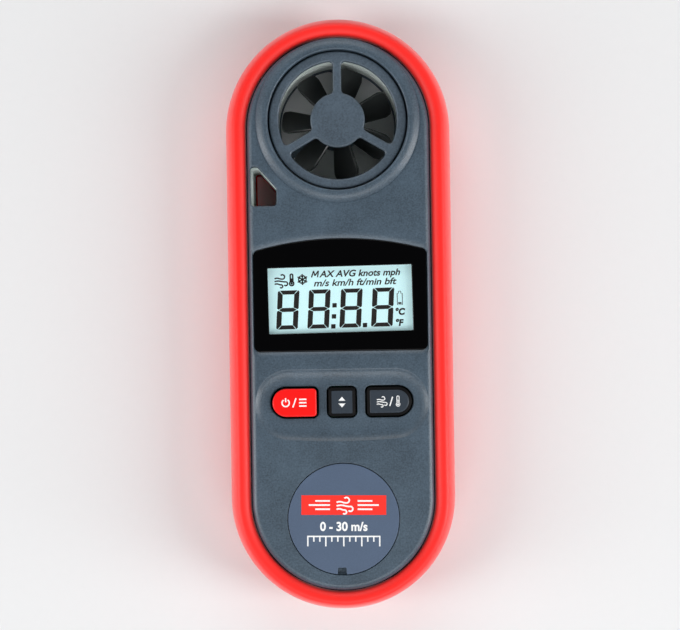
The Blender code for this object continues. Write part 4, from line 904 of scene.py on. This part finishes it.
def digit(x, y):  # seven mitred bars of a full figure, with its outer corners cut off
    width, height = figure["size"]
    upright, level, slit, lean, corner = [figure[key] for key in ("upright", "level", "slit", "lean", "corner")]
    half, mid, nose, cross = level / 2, height / 2, upright * 0.5, slit / 2
    near, far = upright + cross, width - upright - cross

    def slanted(points):
        return polygon([(x + px + lean * py, y + py) for px, py in points])

    shapes = [slanted([(nose * 0.55 + slit, mid), (near, mid - half), (far, mid - half),
                       (width - nose * 0.55 - slit, mid), (far, mid + half), (near, mid + half)])]
    for edge, way in ((height, 1), (0.0, -1)):
        shapes.append(slanted([(corner + slit * 1.2, edge), (width - corner - slit * 1.2, edge),
                               (far, edge - way * level), (near, edge - way * level)]))
    for mirrored in (False, True):
        for edge, way in ((height, 1), (0.0, -1)):
            bar = [(corner * 0.75, edge - way * 0.02), (upright, edge - way * (level + cross)),
                   (upright, mid + way * (half + cross)), (nose * 0.45, mid + way * slit * 1.1),
                   (0.0, mid + way * (slit + 0.25)), (0.0, edge - way * corner)]
            shapes.append(slanted([(width - px, py) for px, py in bar] if mirrored else bar))
    return shapes


def square(x, y, size):  # leans a little, as the figures do
    h = size / 2
    lean = 0.06 * h
    return polygon([(x - h - lean, y - h), (x + h - lean, y - h), (x + h + lean, y + h), (x - h + lean, y + h)])


def windMark(x, y, size, width):  # three curled streams
    shapes = []
    for dy, length, curl, way in ((0.10, 0.62, 0.17, 1), (-0.12, 0.86, 0.15, -1), (-0.34, 0.5, 0.12, -1)):
        run = []
        for i in range(13):
            t = i / 12
            run.append((x + size * (-0.45 + length * t), y + size * (dy + 0.04 * math.sin(t * 5))))
        endX, endY = run[-1]
        hook = arcPoints(endX, endY + way * curl * size, curl * size, -90 * way, -90 * way + way * 230, 16)
        shapes.append(stroke(run + hook[1:], width))
    return shapes


def thermometerMark(x, y, size, width):
    half, foot, head, bulbY = size * 0.1, y - size * 0.18, y + size * 0.36, y - size * 0.3
    cap = arcPoints(x, head, half, 180, 0, 10)[1:-1]
    stem = [(x - half, foot), (x - half, head)] + cap + [(x + half, head), (x + half, foot)]
    column = [(x, y - size * 0.25), (x, y + size * 0.12)]
    return [stroke(stem, width), stroke(circlePoints(size * 0.17, x, bulbY, 24), width, True),
            polygon(circlePoints(size * 0.09, x, bulbY, 16)), stroke(column, width)]


def flakeMark(x, y, size, width):
    shapes = []
    for k in range(3):
        a = math.radians(30 + 60 * k)
        dx, dy = math.cos(a) * size / 2, math.sin(a) * size / 2
        shapes.append(stroke([(x - dx, y - dy), (x + dx, y + dy)], width))
        for side in (-1, 1):
            for way in (-1, 1):
                b, reach = a + way * math.radians(55), side * size * 0.2
                cx, cy = x + side * dx * 0.5, y + side * dy * 0.5
                shapes.append(stroke([(cx, cy), (cx + math.cos(b) * reach, cy + math.sin(b) * reach)], width))
    return shapes


# places are from the window's lower left corner
readout = {"figures": (1.72, 8.52, 15.5, 22.4), "figureY": 0.95, "dot": 0.95,
           "dots": ((14.6, 5.88), (14.4, 3.47), (14.2, 1.3), (21.1, 1.38)), "capital": 1.4, "slant": 0.25,
           "upperLine": 12.1, "lowerLine": 10.15, "degrees": (("°C", 3.45), ("°F", 1.05)), "degreesX": 27.85,
           "ink": 0.02, "shift": -0.25}


def capitalM(x, y, height, slant, width):  # its strokes are separate, because the font's own runs together
    corners = ((0.05, 0.0), (0.2, height), (0.72, height / 4), (1.24, height), (1.38, 0.0))
    bends = [(x + px + slant * py, y + py) for px, py in corners]
    return [stroke([a, b], width) for a, b in zip(bends, bends[1:])]


def cellMark(x, y, width):  # upright cell with its cap and a low charge
    rim = [(0.0, 0.0), (1.1, 0.0), (1.1, 2.5), (0.8, 2.5), (0.8, 2.95), (0.3, 2.95), (0.3, 2.5), (0.0, 2.5)]
    return [stroke(shifted(rim, x, y), width, True), polygon(boxOutline(0.7, 0.4, x + 0.55, y + 0.35))]


def makeReadout():
    w, h = display["windowSize"]
    capital, slant, upper = readout["capital"], readout["slant"], readout["upperLine"]
    shapes = []
    for x in readout["figures"]:
        shapes += digit(x, readout["figureY"])
    shapes += [square(x, y, readout["dot"]) for x, y in readout["dots"]]
    shapes += windMark(2.95, 11.75, 2.8, 0.3) + thermometerMark(5.4, 11.7, 2.7, 0.32)
    shapes += flakeMark(7.75, 11.7, 2.4, 0.28) + capitalM(9.7, upper, capital, slant, 0.27)
    shapes.append(lettering("AX AVG knots mph", capital, 11.45, upper, 17.65, slant, 0.024))
    shapes.append(lettering("m/s km/h ft/min bft", capital, 10.2, readout["lowerLine"], 18.1, slant, 0.02))
    for text, y in readout["degrees"]:
        shapes.append(lettering(text, capital, readout["degreesX"], y, None, 0.15, 0.05))
    shapes += cellMark(28.3, 5.6, 0.16)
    dx, dy = readout["shift"] - w / 2, -h / 2
    shapes = [(shifted(points, dx, dy), faces) for points, faces in shapes]
    graphicPiece("readout", shapes, display["sheetTop"], readout["ink"], lcdInk, "case", "rotor_black",
                 display["tilt"], 0, windowY)


makeReadout()
print("display made")


# keys
def makeKey(kind, body, capMaterial):
    x, y = keyPlaces[kind]
    foot, shoulder, over, shrink = keys["foot"], keys["shoulder"], keys["round"], keys["capShrink"][kind]
    steps = [(0.0, foot), (0.0, shoulder - 0.25), (0.06, shoulder), (shrink, keyTop - over)]  # (inset, height)
    for a in (22, 45, 68, 90):
        turn = math.radians(a)
        steps.append((shrink + over * (1 - math.cos(turn)), keyTop - over * (1 - math.sin(turn))))
    rows = [(shifted(keyOutline(kind, -inset), x, y), z) for inset, z in steps]
    piece = loftSolid(f"{kind}Key", rows, keySidesPaintedShade)
    piece.data.materials.append(capMaterial)
    for side in piece.data.polygons:
        if side.center.z > (keyTop - over * 1.02) * mm:  # the rounded rim and the top take the cap's colour, the sides below keep the painted shade
            side.material_index = 1
    stemTop, stemLow, stemRadius = foot + 0.05, 14.4, 1.5
    profile = [(0, stemTop), (stemRadius, stemTop), (stemRadius, stemLow), (0, stemLow)]
    stem = lathe("stem", profile, x, y, steps=32, ring=False)
    joinInto(piece, [stem])
    smoothOver(piece, 35.0)
    return hand(piece, body, "power_red" if kind == "power" else "key_black", f"{kind}_button")


makeKey("power", "power_key", keyRed)
makeKey("unit", "unit_key", keyCap)
makeKey("mode", "mode_key", keyCap)


def makeLegends():
    symbolX = -1.9
    power = [stroke(arcPoints(symbolX, 0.0, 0.78, 125, 415, 30), 0.3),
             stroke([(symbolX, 0.15), (symbolX, 1.05)], 0.3), stroke([(-0.35, -1.0), (0.35, 1.0)], 0.28)]
    power += [stroke([(1.0, dy), (2.6, dy)], 0.32) for dy in (-0.72, 0.0, 0.72)]
    unit = [polygon([(-0.75, 0.3), (0.75, 0.3), (0.0, 1.15)]),
            polygon([(-0.75, -0.3), (0.0, -1.15), (0.75, -0.3)])]
    mode = windMark(-1.75, 0.15, 2.2, 0.2) + [stroke([(0.05, -1.0), (0.7, 1.0)], 0.26)]
    mode += thermometerMark(1.85, 0.05, 2.4, 0.17)
    for kind, shapes in (("power", power), ("unit", unit), ("mode", mode)):
        graphicPiece(f"{kind}Legend", shapes, keyTop, 0.02, printWhite, f"{kind}_key", "white_film", 0,
                     *keyPlaces[kind])


makeLegends()
print("keys made")


# round plate
badge = {"notch": (2.0, 1.5), "notchX": -0.5, "turn": -0.9, "edge": 0.12, "ink": 0.015, "barY": 3.05,
         "barSize": (18.4, 4.25), "textWidth": 10.3, "textY": -2.5, "scaleY": -3.75, "pitch": 1.3, "ticks": 13}


def makeBadge():
    w, d = badge["notch"]
    r = plateRadius
    left, right = badge["notchX"] - w / 2, badge["notchX"] + w / 2
    start, end = math.degrees(math.asin(right / r)) - 90, 270 + math.degrees(math.asin(left / r))
    rim = arcPoints(plateX, plateY, r, start, end, 150)
    notch = [(plateX + left + 0.12, plateY - r + d), (plateX + right - 0.12, plateY - r + d)]
    disc = plate("badge", [rim + notch], plateLow[2], plateHigh[2], badge["edge"], plateFilm)
    hand(smoothOver(disc, 40.0), "case", "nameplate_film", "nameplate")
    z, ink, middle, place = plateHigh[2], badge["ink"], badge["barY"], (badge["turn"], plateX, plateY)
    bar = polygon(boxOutline(*badge["barSize"], 0, middle))
    graphicPiece("badgeBar", [bar], z, ink, printRed, "case", "power_red", *place)
    shapes = windMark(0.0, middle + 0.25, 3.5, 0.34)
    for side in (-1, 1):  # three lines on either side of the mark, the middle one longer
        shapes += [stroke([(side * 3.0, middle + dy), (side * (3.0 + run), middle + dy)], 0.36)
                   for dy, run in ((0.9, 3.2), (0.0, 4.6), (-0.9, 3.2))]
    graphicPiece("badgeMark", shapes, z + ink, ink, printWhite, "case", "white_film", *place)
    width, base, pitch, last = badge["textWidth"], badge["scaleY"], badge["pitch"], badge["ticks"] - 1
    shapes = [lettering("0 - 30 m/s", 1.9, -width / 2, badge["textY"], width, 0.0, 0.03)]
    for i in range(badge["ticks"]):
        x, long = (i - last / 2) * pitch, i % 3 == 0
        shapes.append(stroke([(x, base - 0.15), (x, base - (2.15 if long else 1.15))], 0.3))
    reach = last / 2 * pitch + 0.15
    shapes.append(stroke([(-reach, base), (reach, base)], 0.3))
    graphicPiece("badgeScale", shapes, z, ink, printWhite, "case", "white_film", *place)


makeBadge()
print("badge made")


# battery door, screws
door = {"thick": 1.0, "slot": (14.0, 1.7, 0.5), "slotCorner": 0.8, "edge": 0.15, "collar": (10.4, 9.2),
        "lug": (11.7, 10.2), "lugHalf": 15, "lugLow": 3.0}


def makeDoor():
    low, high = doorLow[2], doorHigh[2]
    disc = plate("batteryDoor", [circlePoints(doorRadius, doorX, doorY, 144)], low, low + door["thick"],
                 door["edge"], caseAbs)
    length, width, depth = door["slot"]
    slot = roundCorners(boxOutline(length, width, doorX, doorY), door["slotCorner"], steps=8)
    steps = ((0.6, -0.6), (0.12, 0.0), (0.0, 0.12), (-0.2, depth))  # (growth, depth) from outside into the door
    cutAway(disc, [loftSolid("dimple", [(growOutline(slot, grow), low + deep) for grow, deep in steps])])
    collar = lathe("collar", tubeRows(*door["collar"], high, low + 0.8), doorX, doorY)
    lugs, (outer, inner), half = [], door["lug"], door["lugHalf"]
    for i in range(3):
        start, end = 90 + 120 * i - half, 90 + 120 * i + half
        outline = arcPoints(doorX, doorY, outer, start, end, 12)
        outline += arcPoints(doorX, doorY, inner, end, start, 12)
        lugs.append(prism(f"lug{i}", outline, door["lugLow"], high))
    joinInto(disc, [collar] + lugs)
    smoothOver(disc, 40.0)
    hand(disc, "cell_door", "charcoal_abs", "battery_door")


makeDoor()

screws = {"head": 1.8, "shank": 0.9, "length": 12.0, "slotTurn": 20, "slotMouth": (2.1, 0.5),
          "slotFoot": (0.8, 0.36)}


def makeScrews():
    z = spanOf("case_screw_1")[0][2]
    head, shank, end = screws["head"], screws["shank"], z + screws["length"]
    profile = [(0.0, end), (shank, end - 0.8), (shank, z + 1.3), (head, z + 1.25), (head, z + 0.45),
               (head - 0.25, z + 0.15), (head - 0.7, z), (0.0, z)]
    screw = lathe("screw", profile, 0, 0, zincSteel, steps=40, ring=False)
    slots = []
    for a in (0, 90):
        mouth = placeSheet(boxOutline(*screws["slotMouth"]), a + screws["slotTurn"], 0, 0)
        foot = placeSheet(boxOutline(*screws["slotFoot"]), a + screws["slotTurn"], 0, 0)
        slots.append(loftSolid(f"slot{a}", [(mouth, z - 0.5), (mouth, z + 0.1), (foot, z + 0.9)]))
    cutAway(screw, slots)
    tree, given = geometryTree("screwSet", [("Screw", "Object"), ("Material", "Material")])
    source = addNode(tree, "GeometryNodeObjectInfo", {}, {"Object": given.outputs["Screw"]})
    each = addNode(tree, "GeometryNodeInstanceOnPoints", {}, {"Points": given.outputs["Geometry"],
                   "Instance": source.outputs["Geometry"]})
    real = addNode(tree, "GeometryNodeRealizeInstances", {}, {0: each.outputs[0]})
    paint = addNode(tree, "GeometryNodeSetMaterial", {},
                    {"Geometry": real.outputs[0], "Material": given.outputs["Material"]})
    addNode(tree, "NodeGroupOutput", {}, {0: paint.outputs[0]})
    mesh = bpy.data.meshes.new("caseScrews")
    mesh.from_pydata([(x * mm, y * mm, 0) for x, y in screwPlaces], [], [])
    holder = linkMesh("caseScrews", mesh)
    growWith(holder, tree, {"Screw": screw, "Material": zincSteel})
    bpy.data.objects.remove(screw)
    smoothOver(holder, 35.0)
    hand(holder, "case", "steel", *screwNodes)


makeScrews()
print("door and screws made")


# inner CAD nodes keep their shapes and get their materials
inner = {
    "impeller_shaft": zincSteel, "rotor_magnet": magnetFerrite, "front_bush": bushBrass, "rear_bush": bushBrass,
    "lcd_reflector": reflectorFilm, "lcd_frame": holderNylon, "zebra_strip_upper": stripRubber,
    "zebra_strip_lower": stripRubber, "power_plunger": reflectorFilm, "unit_plunger": reflectorFilm,
    "mode_plunger": reflectorFilm, "power_switch": zincSteel, "unit_switch": zincSteel,
    "mode_switch": zincSteel, "coin_cell": zincSteel, "cell_holder": holderNylon,
    "cell_contact_positive": bushBrass,
    "cell_contact_negative": bushBrass, "main_board": boardLaminate, "controller_chip": holderNylon,
    "clock_crystal": zincSteel, "hall_sensor": holderNylon, "air_thermistor": holderNylon,
    "thermistor_lead": zincSteel, "board_screw_1": zincSteel, "board_screw_2": zincSteel,
    "board_screw_3": zincSteel}
for nodeName, material in inner.items():
    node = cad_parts[nodeName]
    node.data.materials.clear()
    node.data.materials.append(material)


# studio
studio = {"distance": 400.0, "widthAtCase": 150.8, "aim": (-0.13, -0.22), "roll": -0.9, "sensor": 36.0,
          "floor": "#E6E7E8", "floorHalf": 3000, "floorDrop": 0.06}
camera = bpy.data.objects.new("camera", bpy.data.cameras.new("camera"))
scene.collection.objects.link(camera)
camera.data.sensor_width = studio["sensor"]
camera.data.lens = studio["sensor"] * studio["distance"] / studio["widthAtCase"]
camera.location = (studio["aim"][0] * mm, studio["aim"][1] * mm, (studio["distance"] + partingZ) * mm)
camera.rotation_euler = (0, 0, math.radians(studio["roll"]))
camera.data.clip_start, camera.data.clip_end = 0.01, 10.0
scene.camera = camera

floorMesh = bpy.data.meshes.new("floor")
corners = [(x * mm, y * mm, -studio["floorDrop"] * mm) for x, y in boxOutline(*[2 * studio["floorHalf"]] * 2)]
floorMesh.from_pydata(corners, [], [(0, 1, 2, 3)])
# matt white paper: even, with next to no texture
floorPaper = finish("matPaperWhite", studio["floor"], 0.8, grain=2.0, bump=0.0, mottle=0.005, patch=60.0)
floor = linkMesh("floor", floorMesh, floorPaper)

lamps = {  # place in mm, size in mm, watts
    "key": ((40, -760, 940), (1100, 420), 5.2),
    "leftSide": ((-900, -160, 500), (360, 900), 6.0),
    "rightSide": ((900, -220, 500), (360, 900), 7.8),
    "farEnd": ((-60, 900, 640), (900, 420), 3.2)}
for name, (place, size, watts) in lamps.items():
    lamp = bpy.data.objects.new(name, bpy.data.lights.new(name, "AREA"))
    scene.collection.objects.link(lamp)
    lamp.data.shape = "RECTANGLE"
    lamp.data.size, lamp.data.size_y = size[0] * mm, size[1] * mm
    lamp.data.energy = watts
    lamp.location = [c * mm for c in place]
    lamp.rotation_euler = (-Vector(lamp.location)).to_track_quat("-Z", "Y").to_euler()

world = bpy.data.worlds.new("studio")  # pale round the horizon, dim overhead
scene.world = world
world.use_nodes = True
sky = world.node_tree
direction = addNode(sky, "ShaderNodeTexCoord")
height = addNode(sky, "ShaderNodeSeparateXYZ", {}, {"Vector": direction.outputs["Generated"]})
glow = addNode(sky, "ShaderNodeMapRange", {"From Min": 0.5, "From Max": 0.96, "To Min": 0.3, "To Max": 0.04},
               {"Value": height.outputs["Z"]})
sky.links.new(glow.outputs["Result"], sky.nodes["Background"].inputs["Strength"])
sky.nodes["Background"].inputs["Color"].default_value = (1, 1, 1, 1)
scene.view_settings.view_transform = "Standard"

print("studio ready")
